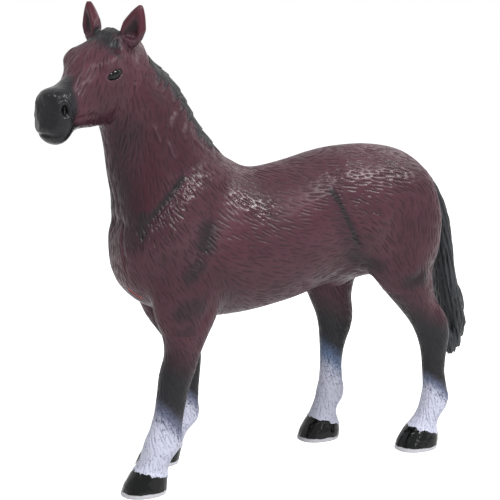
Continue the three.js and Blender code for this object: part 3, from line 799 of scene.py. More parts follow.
def comb(skin, flow, keep, spacing, length, seed):
    """Evenly spaced strokes that follow the flow over the skin.

    Returns the places along all strokes and how deep each place is, from 0 to 1.
    """
    random = np.random.default_rng(seed)
    places = skin.place
    tree = search_tree(places)
    cells = {}
    around = [(x, y, z) for x in (-1, 0, 1) for y in (-1, 0, 1) for z in (-1, 0, 1)]
    samples, depths = [], []

    def cell_of(p):
        return (int(p[0] // spacing), int(p[1] // spacing), int(p[2] // spacing))

    def crowded(p, limit, own):
        cx, cy, cz = cell_of(p)
        for dx, dy, dz in around:
            for qx, qy, qz, stroke in cells.get((cx + dx, cy + dy, cz + dz), ()):
                if stroke != own:
                    gap = (p[0] - qx) ** 2 + (p[1] - qy) ** 2 + (p[2] - qz) ** 2
                    if gap < limit * limit:
                        return True
        return False

    chosen = np.flatnonzero(keep > 0.5)
    random.shuffle(chosen)
    chosen = chosen[:int(len(chosen) * TRIED_SHARE)]
    stroke = 0
    for start in chosen.tolist():
        p = places[start].copy()
        if crowded(p, spacing, -1):
            continue
        stroke += 1
        reach = length * random.uniform(0.5, 1.0)
        bend = random.uniform(-STROKE_BEND, STROKE_BEND)
        trail = []
        travelled = 0.0
        nearest = start
        while travelled < reach:
            trail.append(tuple(p))
            run = flow[nearest]
            side = np.cross(skin.direction[nearest], run)
            run = run + side * bend
            p = p + run * STROKE_STEP
            _, nearest, _ = tree.find(p)
            if keep[nearest] <= 0.5:
                break
            outward = skin.direction[nearest]
            p = p - outward * ((p - places[nearest]) @ outward)
            travelled += STROKE_STEP
            if crowded(p, spacing * CLOSEST_SHARE, stroke):
                break
        if len(trail) < FEWEST_STEPS:
            continue
        last = len(trail) - 1
        for i, q in enumerate(trail):
            cells.setdefault(cell_of(q), []).append((*q, stroke))
            samples.append(q)
            depths.append(min(1.0, (i + 1) / 4, (last - i + 1) / 8))
    return np.array(samples), np.array(depths)


def scratch(skin, flow, keep, size, seed):
    """Depth of new strokes at each vertex, from 0 to 1.

    size is the distance between two strokes, the longest length and the half width.
    """
    spacing, length, half_width = size
    samples, depths = comb(skin, flow, keep, spacing, length, seed)
    tree = search_tree(samples)
    found = [tree.find(place) for place in skin.place.tolist()]
    index = np.array([row[1] for row in found])
    distance = np.array([row[2] for row in found])
    bite = (1 - (distance / half_width) ** 2).clip(0, 1) ** 2
    return bite * depths[index]


def lay_flat(skin, flow):
    """The flow turned into the skin's plane, with unit length."""
    flow = flow - skin.direction * (flow * skin.direction).sum(1)[:, None]
    return flow / np.linalg.norm(flow, axis=1).clip(1e-9)[:, None]


def control_flow(skin, sighting, rows, spread, on_head=False):
    """Direction of the hair at each vertex from the control places nearby."""
    places, directions = sighting.flow(rows, on_head)
    flow = np.zeros_like(skin.place)
    batch = 20000
    for start in range(0, len(flow), batch):
        part = skin.place[start:start + batch]
        gap = ((part[:, None, :] - places[None]) ** 2).sum(2)
        gap -= gap.min(1)[:, None]
        weight = np.exp(-gap / (2 * spread ** 2))
        flow[start:start + batch] = weight @ directions
    return lay_flat(skin, flow)


def hanging_flow(place, rows):
    """Direction of hair that hangs down and leans to the back: rows of height, lean."""
    heights, leans = zip(*rows)
    lean = np.interp(place[:, 2], heights, leans)
    return np.stack([-lean, np.zeros(len(place)), -np.ones(len(place))], 1)


def coat_flow(skin, sighting):
    """Hair direction on the trunk, neck and upper legs."""
    flow = control_flow(skin, sighting, COAT_FLOW, 12.0)
    low = 1 - ramp(skin.place[:, 2], 84, 104)
    flow = flow * (1 - low[:, None]) + hanging_flow(skin.place, LEG_LEAN) * low[:, None]
    return lay_flat(skin, flow)


def cavity(skin, rounds=10):
    """How hollow the skin is at each vertex: above 0 in a hollow, below 0 on a ridge."""
    smooth = skin.place
    for _ in range(rounds):
        smooth = skin.average(smooth)
    return ((smooth - skin.place) * skin.direction).sum(1)


# Finishing

def cut(mesh, planes):
    """Cuts a mesh along planes, keeps what lies behind them and closes the cuts.

    A plane with a third entry cuts only what lies behind that x.
    """
    work = bmesh.new()
    work.from_mesh(mesh)
    for place, outward, *limit in planes:
        faces = work.faces[:]
        if limit:
            edge = limit[0] * MM
            faces = [f for f in faces if all(v.co.x < edge for v in f.verts)]
        # Dictionaries keep their order, so that the result is the same each run.
        verts = list(dict.fromkeys(v for f in faces for v in f.verts))
        edges = list(dict.fromkeys(e for f in faces for e in f.edges))
        geometry = verts + edges + faces
        result = bmesh.ops.bisect_plane(
            work, geom=geometry, dist=1e-7, plane_co=Vector(place) * MM,
            plane_no=outward, clear_outer=True)
        rim = [e for e in result["geom_cut"]
               if isinstance(e, bmesh.types.BMEdge) and e.is_boundary]
        closed = bmesh.ops.edgeloop_fill(work, edges=rim)
        for face in closed["faces"]:
            face.material_index = 0
            face.normal_update()
            if face.normal.dot(Vector(outward)) < 0:
                face.normal_flip()
    islands = []
    seen = set()
    for vertex in work.verts:
        if vertex in seen:
            continue
        island, todo = [], [vertex]
        seen.add(vertex)
        while todo:
            one = todo.pop()
            island.append(one)
            for edge in one.link_edges:
                other = edge.other_vert(one)
                if other not in seen:
                    seen.add(other)
                    todo.append(other)
        islands.append(island)
    islands.sort(key=len)
    for island in islands[:-1]:
        bmesh.ops.delete(work, geom=island, context="VERTS")
    result = bpy.data.meshes.new(mesh.name)
    work.to_mesh(result)
    work.free()
    return result


def thin(mesh):
    """The same mesh with no more triangles than a piece may have."""
    count = sum(len(face.vertices) - 2 for face in mesh.polygons)
    if count <= MOST_TRIANGLES:
        return mesh
    return modified(mesh, "DECIMATE", ratio=MOST_TRIANGLES / count)


def finish_piece(name, mesh, material):
    """Makes the object that stands for one moulding, hangs it under the root body and hides
    the part.
    """
    mesh = thin(mesh)
    mesh.name = name + "_carved"
    piece = bpy.data.objects.new(name + "_carved", mesh)
    bpy.context.scene.collection.objects.link(piece)
    mesh.materials.clear()
    mesh.materials.append(material)
    mesh.shade_smooth()
    mesh.set_sharp_from_angle(angle=HARD_EDGE)
    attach(piece, "root")
    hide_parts(name)


def hand_over(skin, material, pieces):
    """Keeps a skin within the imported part's box and cuts it into its pieces."""
    low, high = (np.array(corner) / MM for corner in bounds_before)
    skin.place = skin.place.clip(low + BOX_MARGIN, high - BOX_MARGIN)
    skin.write()
    for name, planes in pieces.items():
        finish_piece(name, cut(skin.mesh, planes), material)
    bpy.data.meshes.remove(skin.mesh)


# Paint

class Nodes:
    """Adds and joins the nodes of one material or of the room."""

    def __init__(self, owner):
        owner.use_nodes = True
        self.tree = owner.node_tree
        self.tree.nodes.clear()

    def add(self, kind, **settings):
        """One new node with these settings."""
        node = self.tree.nodes.new(kind)
        for name, value in settings.items():
            setattr(node, name, value)
        return node

    def join(self, source, target):
        """Links a socket to the target, or sets the target to a number or a colour."""
        if isinstance(source, (int, float, tuple)):
            target.default_value = source
        else:
            self.tree.links.new(source, target)

    def math(self, kind, first, second, clamp=False):
        """One operation on two values."""
        node = self.add("ShaderNodeMath", operation=kind, use_clamp=clamp)
        self.join(first, node.inputs[0])
        self.join(second, node.inputs[1])
        return node.outputs[0]

    def plus(self, first, second):
        """Sum of two values."""
        return self.math("ADD", first, second)

    def minus(self, first, second):
        """Difference of two values."""
        return self.math("SUBTRACT", first, second)

    def times(self, first, second):
        """Product of two values."""
        return self.math("MULTIPLY", first, second)

    def blend(self, share, first, second, kind="RGBA"):
        """Mix of two colours, or of two values where kind is FLOAT."""
        node = self.add("ShaderNodeMix", data_type=kind)
        self.join(share, node.inputs["Factor"])
        self.join(first, node.inputs["A"])
        self.join(second, node.inputs["B"])
        return node.outputs["Result"]

    def white_rays(self):
        """1 for the rays that see the room white, and 0 for those that carry its light."""
        path = self.add("ShaderNodeLightPath")
        seen = path.outputs["Is Camera Ray"]
        for ray in ("Is Glossy Ray", "Is Transmission Ray"):
            seen = self.math("MAXIMUM", seen, path.outputs[ray])
        return seen


class Paint(Nodes):
    """One paint, laid on in layers."""

    def __init__(self, name, ground):
        self.material = bpy.data.materials.new(name)
        super().__init__(self.material)
        self.shader = self.add("ShaderNodeBsdfPrincipled")
        output = self.add("ShaderNodeOutputMaterial")
        self.join(self.shader.outputs[0], output.inputs["Surface"])
        self.object_place = self.add("ShaderNodeTexCoord").outputs["Object"]
        self.colour = ground

    def attribute(self, name):
        """A value kept at the vertices."""
        return self.add("ShaderNodeAttribute", attribute_name=name).outputs["Fac"]

    def span(self, value, low, high, bottom=0.0, top=1.0):
        """Smooth step of a value between low and high."""
        node = self.add("ShaderNodeMapRange", interpolation_type="SMOOTHSTEP")
        for source, socket in ((value, "Value"), (low, "From Min"), (high, "From Max"),
                               (bottom, "To Min"), (top, "To Max")):
            self.join(source, node.inputs[socket])
        return node.outputs["Result"]

    def noise(self, scale, detail=3.0, roughness=0.5):
        """Cloudy values about 0.5."""
        node = self.add("ShaderNodeTexNoise")
        for source, socket in ((self.object_place, "Vector"), (scale, "Scale"),
                               (detail, "Detail"), (roughness, "Roughness")):
            self.join(source, node.inputs[socket])
        return node.outputs["Fac"]

    def ragged(self, value, noise, amount, clamp=False):
        """A value whose level is made uneven by a noise."""
        return self.math("ADD", value, self.times(self.minus(noise, 0.5), amount), clamp)

    def layer(self, share, paint):
        """Lays a paint over the ones before it."""
        self.colour = self.blend(share, self.colour, paint)

    def finish(self, roughness, sheen):
        """Joins the layers and the surface to the shader."""
        self.join(self.colour, self.shader.inputs["Base Color"])
        self.join(roughness, self.shader.inputs["Roughness"])
        self.shader.inputs["Specular IOR Level"].default_value = sheen

    def bump(self, height, strength, distance):
        """A fine grain that the mesh is too coarse for."""
        node = self.add("ShaderNodeBump")
        for source, socket in ((strength, "Strength"), (distance, "Distance"),
                               (height, "Height")):
            self.join(source, node.inputs[socket])
        self.join(node.outputs["Normal"], self.shader.inputs["Normal"])


def head_layers(mix, roughness):
    """Muzzle, ears, nostrils and eyes. Returns the roughness and the muzzle's grain."""
    muzzle = mix.attribute("muzzle")
    mix.layer(muzzle, PAINTS["muzzle"])
    mix.layer(mix.attribute("ear"), PAINTS["ear"])
    mix.layer(mix.attribute("cup"), PAINTS["ear cup"])
    mix.layer(mix.attribute("nostril"), PAINTS["eye"])
    eye = mix.span(mix.attribute("eye"), -0.16, 0.02)
    mix.layer(eye, PAINTS["eye"])
    roughness = mix.minus(roughness, mix.times(muzzle, 0.15))
    lumps = mix.times(mix.noise(260, 3, 0.6), muzzle)
    return mix.blend(eye, roughness, EYE_ROUGHNESS, "FLOAT"), mix.times(lumps, 1.8)


def sock_layers(mix, settings, grain, groove, roughness):
    """Socks with painted groove shade, hooves and soles; returns roughness and the hooves'
    lumps.
    """
    sock = mix.attribute("sock")
    level = mix.ragged(sock, grain, 0.35)
    slate = mix.blend(mix.attribute("tinge"), PAINTS["slate"], PAINTS["blue"])
    mix.layer(mix.span(level, 0.1, 0.6), slate)
    mix.layer(mix.span(level, 0.45, 0.98), tuple(settings.sock))
    dust = mix.span(mix.noise(950, 1, 0.4), 0.6, 0.66)
    dusty = mix.times(mix.span(sock, 1.0, 0.8, 0.45, 0.9), mix.span(sock, 0.05, 0.4))
    mix.layer(mix.times(dust, dusty), PAINTS["dust"])
    # Painted shade in the grooves of the socks, strongest where they fade.
    stroke = mix.times(groove, mix.span(sock, 1.0, 0.75, 0.35, 0.95))
    mix.layer(mix.times(stroke, mix.span(sock, 0.1, 0.5)), PAINTS["painted sock shade"])
    edge = mix.ragged(mix.attribute("hoof"), mix.noise(420, 2), 4.0)
    hoof = mix.span(edge, -0.15, 0.15)
    mix.layer(hoof, tuple(settings.hoof))
    edge = mix.ragged(mix.attribute("sole"), mix.noise(190, 2), 1.6)
    sole = mix.span(edge, -0.2, 0.2)
    mix.layer(sole, PAINTS["sole"])
    shine = mix.math("SUBTRACT", hoof, sole, clamp=True)
    lumps = mix.times(mix.noise(150, 2, 0.5), shine)
    return mix.blend(shine, roughness, HOOF_ROUGHNESS, "FLOAT"), mix.times(lumps, 2.6)


def coat_paint(settings, name, socks=False, head=False):
    """Brown coat, black spray, painted shade and highlights, and what the legs or head add.
    """
    brown = tuple(settings.coat)
    dark = tuple(c * 0.72 for c in brown[:3]) + (1,)
    reddish = (brown[0] * 1.12, brown[1] * 0.92, brown[2] * 0.98, 1)
    mix = Paint(name, dark)
    groove = mix.attribute("groove")
    hollow = mix.attribute("hollow")
    shade = mix.attribute("shade")
    grain = mix.noise(700, 2, 0.5)
    mix.layer(mix.span(mix.noise(38, 3, 0.55), 0.35, 0.7), brown)
    mix.layer(mix.span(mix.noise(22, 2), 0.5, 0.75, 0, 0.8), reddish)
    mix.layer(mix.times(mix.attribute("neck"), 0.85), PAINTS["neck"])
    # Painted shade in the carved grooves of the coat.
    mix.layer(mix.times(groove, 0.66), PAINTS["painted groove shade"])
    # Painted highlight on the ridges between the strokes, by how far each stands out.
    mix.layer(mix.span(hollow, -0.05, -0.3, 0, 0.18), PAINTS["painted ridge highlight"])
    black = mix.ragged(shade, grain, mix.times(shade, 0.35), clamp=True)
    # The hollows get the same black by their depth: painted shade in the recesses.
    black = mix.math("MAXIMUM", black, mix.span(hollow, 0.12, 0.6, 0, 0.75))
    mix.layer(black, tuple(settings.shading))
    roughness = mix.plus(mix.times(grain, 0.08), settings.gloss - 0.04)
    roughness = mix.minus(roughness, mix.times(mix.attribute("polish"), 0.15))
    roughness = mix.plus(roughness, mix.times(shade, 0.05))
    height = mix.times(mix.noise(420, 3, 0.6), 0.08)
    if head:
        roughness, lumps = head_layers(mix, roughness)
        height = mix.plus(height, lumps)
    if socks:
        roughness, lumps = sock_layers(mix, settings, grain, groove, roughness)
        height = mix.plus(height, lumps)
    if not head and not socks:
        mix.layer(mix.attribute("seam"), PAINTS["raw plastic"])
    mix.finish(roughness, COAT_SHEEN)
    mix.bump(height, 0.6, 0.0006)
    return mix.material


def tail_paint(settings):
    """Satin black, with painted shade in the grooves and painted highlights on the ridges."""
    mix = Paint("tail_paint", tuple(settings.tail))
    mix.layer(mix.span(mix.noise(60, 3), 0.35, 0.7), PAINTS["tail patch"])
    # Painted shade in the grooves of the locks.
    mix.layer(mix.times(mix.attribute("groove"), 0.6), PAINTS["painted tail shade"])
    # Painted highlight on the ridges of the locks.
    ridge = mix.span(mix.attribute("hollow"), -0.05, -0.3, 0, 0.4)
    mix.layer(ridge, PAINTS["painted tail highlight"])
    mix.finish(mix.plus(mix.times(mix.noise(500), 0.15), 0.42), TAIL_SHEEN)
    mix.bump(mix.noise(700, 3, 0.6), 0.2, 0.0004)
    return mix.material


# The pieces

def even_out(skin):
    """Rounds the facets away: much on the trunk, little on legs and head."""
    size = np.linalg.norm(skin.place[skin.first] - skin.place[skin.second], axis=1).mean()
    height = skin.place[:, 2]
    weight = 0.1 + 0.4 * ramp(height, 45, 95)
    weight *= 1 - 0.82 * ramp(beyond_neck(skin.place), -2, 8)
    weight *= 1 - 0.85 * ramp(height, 250, 256)
    weight *= 1 - 0.7 * (1 - ramp(height, 2, 14))
    skin.relax(weight, round(31 / size ** 2))


def whole_skin():
    """The joined figure without its tail, rounded, as the coarse core of all pieces."""
    if "core" not in bpy.data.meshes:
        names = [n for n in sorted(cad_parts) if n != "tail"]
        skin = cast_skin(names, CORE_CELLS)
        even_out(skin)
        skin.write()
        skin.mesh.name = "core"
    return bpy.data.meshes["core"]


def body_skin():
    """Rounded skin of the trunk and neck, still in one piece."""
    mesh = whole_skin().copy()
    fine = bmesh.new()
    fine.from_mesh(mesh)
    bmesh.ops.subdivide_edges(fine, edges=fine.edges[:], cuts=1, use_grid_fill=True,
                              smooth=0.0)
    fine.to_mesh(mesh)
    fine.free()
    skin = Skin(mesh)
    skin.relax(np.full(len(skin.place), 0.5), 3)
    return skin


def crest_line(skin):
    """Top line of the neck from the withers to the head."""
    place = skin.place[np.abs(skin.place[:, 1]) < 2.0]
    ahead, up = CREST_RUN
    along = place[:, 0] * ahead + place[:, 2] * up
    back = place[:, 2] * ahead - place[:, 0] * up
    line = []
    for start in np.arange(*CREST_STRETCH, CREST_STEP):
        here = np.flatnonzero((along >= start) & (along < start + CREST_STEP))
        if len(here):
            x, _, z = place[here[back[here].argmax()]]
            if z > CREST_LOWEST:
                line.append((x, 0.0, z))
    return line


def shape_mane(skin, sighting):
    """Stepped tufts along the crest, and how much of each vertex is mane."""
    skin.face_out(3)
    line = crest_line(skin)
    distance, share = near_line(skin.place, line, 26)
    side = skin.place[:, 1]
    steps = []
    for across, down in MANE_STEPS:
        spot = sighting.on_plane(across, down, 0.0)
        _, at = near_line(np.array([tuple(spot)]), line, 40)
        steps.append(float(at[0]))
    steps = np.array(sorted(steps))
    index = np.searchsorted(steps, share).clip(1, len(steps) - 1)
    low, high = steps[index - 1], steps[index]
    tuft = ((share - low) / np.maximum(high - low, 1e-3)).clip(0, 1)
    fall = MANE_FALL * ramp(share, -0.02, 0.25) * (0.7 + 0.5 * (1 - tuft))
    fall *= np.where(side < 0, 1.0, 1 - 0.5 * ramp(1 - share, 0.75, 1.0))
    mane = 1 - ramp(distance, fall * 0.72, fall + 0.8)
    skin.push(mane * (MANE_RISE + TUFT_RISE * (1 - tuft)) * ramp(share, 0.0, 0.15))
    return mane


def shape_body(skin, sighting):
    """Rises, furrows, neck locks, throat, seam and belly fold of the trunk and neck."""
    skin.face_out(4)
    raise_spots(skin, BODY_SWELLINGS, sighting.both_sides)
    draw_furrows(skin, BODY_FURROWS, sighting.both_sides)
    for spots in NECK_LOCKS:
        furrow(skin, sighting.line(spots), -NECK_LOCK_HEIGHT, NECK_LOCK_HALF_WIDTH)
    for spot, depth, half_height in CHEST_DENTS:
        place = sighting.spot(*spot)[0]
        swelling(skin, (place.x, 0.0, place.z), (14.0, 18.0, half_height), -depth)
    furrow(skin, sighting.line(CHEST_SEAM), 0.5, 0.8)
    spot, size, height = SHEATH
    swelling(skin, sighting.on_plane(*spot, 0.0), size, height)


def shape_hindquarter(skin, sighting):
    """Fold under the buttock and the point of the hock, on shells and legs alike."""
    skin.face_out(4)
    raise_spots(skin, LEG_SWELLINGS, sighting.both_sides)


class FIGURE_OT_shells(bpy.types.Operator):
    """Carves and paints the two halves of the trunk and neck"""
    bl_idname = "figure.shells"
    bl_label = "Body shells"

    def execute(self, context):
        carving = context.scene.figure_carving
        sighting = Sighting()
        both = sighting.both_sides
        skin = body_skin()
        shape_body(skin, sighting)
        shape_hindquarter(skin, sighting)
        mane = shape_mane(skin, sighting)
        skin.face_out(3)
        x, _, z = skin.place.T
        keep = ((z > FORE_JOINT_HEIGHT - 6) & (beyond_neck(skin.place) < 4)).astype(float)
        strokes = (carving.hair_spacing / MM, carving.hair_length / MM,
                   BODY_STROKE_HALF_WIDTH)
        hollow = cavity(skin)
        groove = scratch(skin, coat_flow(skin, sighting), keep, strokes, carving.seed)
        joint = np.where(x < HAUNCH_FRONT, HIND_JOINT_HEIGHT, FORE_JOINT_HEIGHT)
        groove *= ramp(z - joint, 0.1, 1.0)
        shade = spray(skin, BODY_SHADE, both)
        polish = spray(skin, POLISH, both)
        faint = spray(skin, FAINT, both) * (1 - polish)
        bite = (0.8 + 0.5 * polish + 0.4 * np.maximum(mane, shade)) * (1 - 0.55 * faint)
        skin.push(-groove * bite * carving.hair_depth / MM)
        neck = spray(skin, FAINT[:1], both) * (1 - polish)
        seam, _ = near_line(skin.place, sighting.line(CHEST_SEAM), 4)
        skin.tint(hollow=hollow, groove=groove, shade=np.maximum(shade, mane),
                  polish=polish - 0.55 * faint, neck=neck, seam=1 - ramp(seam, 0.6, 1.3))
        paint = coat_paint(context.scene.figure_paint, "body_paint")
        gap = carving.seam_gap / MM / 2
        hand_over(skin, paint, {
            name: [(NECK_JOINT - NECK_OUTWARD * gap, NECK_OUTWARD),
                   ((0, 0, FORE_JOINT_HEIGHT + gap), (0, 0, -1)),
                   ((0, 0, HIND_JOINT_HEIGHT + gap), (0, 0, -1), HAUNCH_FRONT),
                   ((0, side * gap, 0), (0, -side, 0))]
            for name, side in (("body_shell_left", 1), ("body_shell_right", -1))})
        return {"FINISHED"}


def head_share(skin, sighting):
    """Vertices in the head frame: along the nose, to the left, up."""
    back = np.array(sighting.head.inverted())
    return skin.place @ back[:3, :3].T + back[:3, 3]


def eye_field(own, sighting):
    """Above 0 inside either eye: 1 at its middle, 0 at its rim, below 0 outside."""
    back = sighting.head.inverted()
    front, rear = (back @ sighting.spot(*corner)[0] for corner in EYE_CORNERS)
    middle = (front + rear) / 2
    outward = (back.to_3x3() @ sighting.spot(
        (EYE_CORNERS[0][0] + EYE_CORNERS[1][0]) / 2,
        (EYE_CORNERS[0][1] + EYE_CORNERS[1][1]) / 2)[1]).normalized()
    long_way = (rear - front).normalized()
    high_way = outward.cross(long_way).normalized()
    half_length = (rear - front).length / 2
    field = np.full(len(own), -9.0)
    for side in (1, -1):
        offset = own * np.array((1, side, 1)) - np.array(middle)
        across = np.abs(offset @ np.array(long_way)) / half_length
        high = np.abs(offset @ np.array(high_way)) / EYE_HALF_HEIGHT
        value = 1 - (across ** 1.8 + high ** 2) ** 0.5
        value[np.linalg.norm(offset, axis=1) > 9] = -9
        field = np.maximum(field, value)
    return field


def shape_head(skin, sighting):
    """Eyes, nostrils, mouth and the lines of the face."""
    skin.face_out(3)
    raise_spots(skin, HEAD_SWELLINGS, sighting.both_cheeks)
    draw_furrows(skin, HEAD_FURROWS, sighting.both_cheeks)
    raise_spots(skin, HEAD_PITS, sighting.both_cheeks)
    nostril = np.zeros(len(skin.place))
    for line in sighting.both_cheeks((NOSTRIL, NOSTRIL)):
        offset = skin.place - np.array(line[0])
        down = np.array(sighting.head.to_3x3() @ Vector((0.25, 0, -1)).normalized())
        high = offset @ down
        flat = np.linalg.norm(offset - high[:, None] * down, axis=1)
        radius = np.hypot(high / NOSTRIL_SIZE[1], flat / NOSTRIL_SIZE[0])
        skin.push(NOSTRIL_RIM * np.exp(-((radius - 1.6) / 0.45) ** 2)
                  - NOSTRIL_DEPTH * np.exp(-radius ** 4))
        nostril = np.maximum(nostril, 1 - ramp(radius, 0.7, 1.2))
    eye = eye_field(head_share(skin, sighting), sighting)
    ball = eye.clip(0, 1)
    lid = np.exp(-((eye + 0.28) / 0.16) ** 2)
    skin.push(LID_RISE * lid + BALL_RISE * np.sqrt(1 - (1 - ball) ** 2)
              - EYE_SET * (eye > -0.1))
    return eye, nostril


class FIGURE_OT_head(bpy.types.Operator):
    """Carves and paints the head with its ears and forelock"""
    bl_idname = "figure.head"
    bl_label = "Head"

    def execute(self, context):
        carving = context.scene.figure_carving
        sighting = Sighting()
        core = cut(whole_skin(), [(NECK_JOINT - NECK_OUTWARD * 12, -NECK_OUTWARD)])
        skin = cast_skin(["head"], HEAD_CELLS, core=core,
                         keep=lambda place: beyond_neck(place) > -4)
        even_out(skin)
        eye, nostril = shape_head(skin, sighting)
        skin.face_out(2)
        along, side, up = head_share(skin, sighting).T
        hollow = cavity(skin, 14)
        edge = np.array([tuple(sighting.head.inverted() @ sighting.spot(*spot)[0])
                         for spot in MUZZLE_EDGE])
        order = edge[:, 2].argsort()
        limit = np.interp(up, edge[order, 2], edge[order, 0])
        muzzle = ramp(along - limit, -2.5, 3.0)
        ears = ramp(up, 1.5, 5.0) * ramp(np.abs(side), 8.0, 10.5)
        bowl = cavity(skin, 70)
        skin.push(EAR_RISE * ears)
        flow = control_flow(skin, sighting, HEAD_FLOW, 8.0, on_head=True)
        keep = ((eye < -0.55) & (muzzle < 0.55) & (ears < 0.3)).astype(float)
        groove = scratch(skin, flow, keep, HEAD_STROKES, carving.seed + SEED_STEPS["head"])
        skin.push(-groove * carving.hair_depth / MM * HEAD_DEPTH)
        skin.tint(hollow=hollow, eye=eye, muzzle=muzzle,
                  ear=ears * (0.1 + 0.8 * ramp(-bowl, 0.25, 0.8)),
                  cup=ears * ramp(bowl, 0.0, 0.35), groove=groove,
                  shade=spray(skin, HEAD_SHADE, sighting.both_cheeks), nostril=nostril)
        paint = coat_paint(context.scene.figure_paint, "head_paint", head=True)
        gap = carving.seam_gap / MM / 2
        hand_over(skin, paint,
                  {"head": [(NECK_JOINT + NECK_OUTWARD * gap, -NECK_OUTWARD)]})
        return {"FINISHED"}


def leg_fields(skin, name, kind):
    """Keeps where hoof, sole, sock and black lie, and returns the hoof's field."""
    x, _, z = skin.place.T
    foot = z < FOOT_HEIGHT
    front, back = HOOF_TOP[kind]
    hoof = np.interp(x, (x[foot].min(), x[foot].max()), (back, front)) - z
    middle = x - np.interp(z, LEG_LEVELS, [x[np.abs(z - h) < 2].mean() for h in LEG_LEVELS])
    sock_top, sock_fade, black_top, black_fade, tinge = LEG_PAINT[name]
    sock_level = z - SOCK_SLOPE * middle
    black_level = z - SHADE_SLOPE * middle
    skin.tint(hoof=hoof, sole=SOLE_RIM - z, tinge=np.full(len(z), tinge),
              sock=1 - ramp(sock_level, sock_top - sock_fade, sock_top + sock_fade),
              shade=1 - ramp(black_level, black_top - black_fade, black_top + black_fade))
    return hoof


def make_legs(context, kind, height):
    """Carves and paints a pair of legs, whose joints are at this height."""
    carving = context.scene.figure_carving
    gap = carving.seam_gap / MM / 2
    paint = coat_paint(context.scene.figure_paint, "leg_paint", socks=True)
    fore = kind == "fore"
    sighting = Sighting()
    for number, (name, side) in enumerate(((kind + "leg_left", 1), (kind + "leg_right", -1))):

        def near_leg(place):
            own = (place[:, 1] * side > 3) & (place[:, 2] < height + 10)
            return own & ((place[:, 0] > LEGS_APART) == fore)

        core = cut(whole_skin(), [((0, 0, height + 16), (0, 0, 1)),
                                  ((LEGS_APART, 0, 0), (-1 if fore else 1, 0, 0)),
                                  ((0, 0, 0), (0, -side, 0))])
        skin = cast_skin([name], LEG_CELLS, keep=near_leg, core=core)
        even_out(skin)
        if not fore:
            shape_hindquarter(skin, sighting)
        skin.face_out(3)
        skin.tint(hollow=cavity(skin, 12))
        flow = lay_flat(skin, hanging_flow(skin.place, LEG_LEAN))
        hoof = leg_fields(skin, name, kind)
        skin.push(HOOF_LEDGE * np.exp(-((hoof + 0.4) / 0.9) ** 2))
        z = skin.place[:, 2]
        keep = ((hoof < -1.0) & (z < height + 9)).astype(float)
        seed = carving.seed + SEED_STEPS[kind + "leg"] + number
        groove = scratch(skin, flow, keep, LEG_STROKES, seed)
        groove *= ramp(height - z, 0.1, 1.0)
        skin.push(-groove * carving.hair_depth / MM * LEG_DEPTH)
        skin.tint(groove=groove)
        hand_over(skin, paint, {name: [((0, 0, height - gap), (0, 0, 1))]})


class FIGURE_OT_forelegs(bpy.types.Operator):
    """Carves and paints the two forelegs"""
    bl_idname = "figure.forelegs"
    bl_label = "Forelegs"

    def execute(self, context):
        make_legs(context, "fore", FORE_JOINT_HEIGHT)
        return {"FINISHED"}


class FIGURE_OT_hindlegs(bpy.types.Operator):
    """Carves and paints the two hindlegs"""
    bl_idname = "figure.hindlegs"
    bl_label = "Hindlegs"

    def execute(self, context):
        make_legs(context, "hind", HIND_JOINT_HEIGHT)
        return {"FINISHED"}


class FIGURE_OT_tail(bpy.types.Operator):
    """Carves and paints the tail"""
    bl_idname = "figure.tail"
    bl_label = "Tail"

    def execute(self, context):
        carving = context.scene.figure_carving
        sighting = Sighting()

        def lock_ends(block):
            for start, end, radius, side in TAIL_LOCKS:
                top = sighting.on_plane(*start, side)
                tip = sighting.on_plane(*end, side)
                turn = (top - tip).to_track_quat("Z", "Y").to_matrix().to_4x4()
                stretch = Matrix.Diagonal((radius, radius, (top - tip).length / 2, 1))
                bmesh.ops.create_icosphere(
                    block, subdivisions=3, radius=1.0,
                    matrix=Matrix.Translation((top + tip) / 2) @ turn @ stretch)

        skin = cast_skin(["tail"], TAIL_CELLS, swell=0.0, extra=lock_ends)
        skin.relax(np.full(len(skin.place), 0.35), 14)
        skin.face_out(3)
        flow = lay_flat(skin, hanging_flow(skin.place, TAIL_LEAN))
        keep = np.ones(len(skin.place))
        locks = scratch(skin, flow, keep, (carving.lock_spacing / MM, *LOCK_STROKES),
                        carving.seed + SEED_STEPS["locks"])
        skin.push(-locks * LOCK_DEPTH)
        skin.face_out(2)
        strands = scratch(skin, flow, keep, STRAND_STROKES,
                          carving.seed + SEED_STEPS["strands"])
        skin.push(-strands * STRAND_DEPTH)
        skin.face_out(2)
        skin.tint(groove=np.maximum(locks, strands * 0.5), hollow=cavity(skin, 8))
        paint = tail_paint(context.scene.figure_paint)
        hand_over(skin, paint, {"tail": []})
        return {"FINISHED"}


# The stage

def place_on_stage(name, data, place, aim):
    """A lamp or the camera, in metres, turned to look at its aim."""
    holder = bpy.data.objects.new(name, data)
    holder.location = Vector(place)
    direction = Vector(aim) - Vector(place)
    holder.rotation_euler = direction.to_track_quat("-Z", "Y").to_euler()
    bpy.context.scene.collection.objects.link(holder)
    return holder


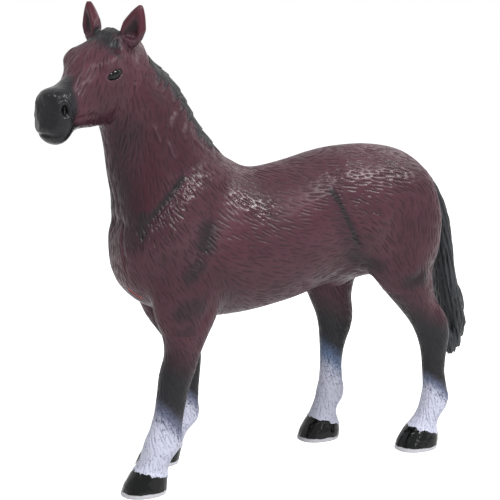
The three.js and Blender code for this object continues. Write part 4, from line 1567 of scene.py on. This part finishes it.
class FIGURE_OT_stage(bpy.types.Operator):
    """Sets the floor, the lights, the room and the camera"""
    bl_idname = "figure.stage"
    bl_label = "Stage"

    def execute(self, context):
        scene = context.scene
        settings = scene.figure_stage
        plate = bmesh.new()
        bmesh.ops.create_grid(plate, x_segments=1, y_segments=1, size=4.0)
        mesh = bpy.data.meshes.new("floor")
        plate.to_mesh(mesh)
        plate.free()
        floor = bpy.data.objects.new("floor", mesh)
        scene.collection.objects.link(floor)
        cover = Paint("floor_cover", BLACK)
        cover.layer(cover.span(cover.noise(3), 0, 1, 0.98, 1.0), tuple(settings.floor))
        cover.finish(0.9, 0.0)
        cover.join(WHITE, cover.shader.inputs["Emission Color"])
        cover.join(cover.times(cover.white_rays(), settings.floor_glow),
                   cover.shader.inputs["Emission Strength"])
        mesh.materials.append(cover.material)

        scene.world = bpy.data.worlds.new("room")
        room = Nodes(scene.world)
        output = room.add("ShaderNodeOutputWorld")
        shader = room.add("ShaderNodeBackground")
        room.join(WHITE, shader.inputs["Color"])
        room.join(room.blend(room.white_rays(), settings.room_light, 1.0, "FLOAT"),
                  shader.inputs["Strength"])
        room.join(shader.outputs[0], output.inputs["Surface"])

        for name, place, aim, size in LAMPS:
            data = bpy.data.lights.new(name + "_light", "AREA")
            data.shape = "RECTANGLE"
            data.size, data.size_y = size
            data.energy = getattr(settings, name + "_power")
            place_on_stage(name + "_light", data, place, aim)

        camera = bpy.data.cameras.new("camera")
        camera.sensor_width = SENSOR_WIDTH
        camera.lens = SENSOR_WIDTH * PICTURE_FOCUS / PICTURE_WIDTH
        camera.clip_start = 0.01
        scene.camera = place_on_stage("camera", camera, CAMERA_PLACE * MM, CAMERA_AIM * MM)
        scene.view_settings.view_transform = "Standard"
        return {"FINISHED"}


class FIGURE_PT_panel(bpy.types.Panel):
    """Lists the steps of the figure"""
    bl_idname = "FIGURE_PT_panel"
    bl_label = "Toy horse"
    bl_space_type = "VIEW_3D"
    bl_region_type = "UI"
    bl_category = "Toy Horse"

    def draw(self, context):
        for step in STEPS:
            self.layout.operator(step.bl_idname)


STEPS = (
    FIGURE_OT_shells, FIGURE_OT_head, FIGURE_OT_forelegs, FIGURE_OT_hindlegs,
    FIGURE_OT_tail, FIGURE_OT_stage,
)
SETTINGS = (
    (FigurePaint, "figure_paint"), (FigureCarving, "figure_carving"),
    (FigureStage, "figure_stage"),
)


def register():
    for group, name in SETTINGS:
        bpy.utils.register_class(group)
        setattr(bpy.types.Scene, name, PointerProperty(type=group))
    for step in STEPS:
        bpy.utils.register_class(step)
    bpy.utils.register_class(FIGURE_PT_panel)


def unregister():
    bpy.utils.unregister_class(FIGURE_PT_panel)
    for step in reversed(STEPS):
        bpy.utils.unregister_class(step)
    for group, name in reversed(SETTINGS):
        delattr(bpy.types.Scene, name)
        bpy.utils.unregister_class(group)


def main():
    register()
    bpy.ops.figure.shells()
    bpy.ops.figure.head()
    bpy.ops.figure.forelegs()
    bpy.ops.figure.hindlegs()
    bpy.ops.figure.tail()
    bpy.ops.figure.stage()


if __name__ == "__main__":
    main()
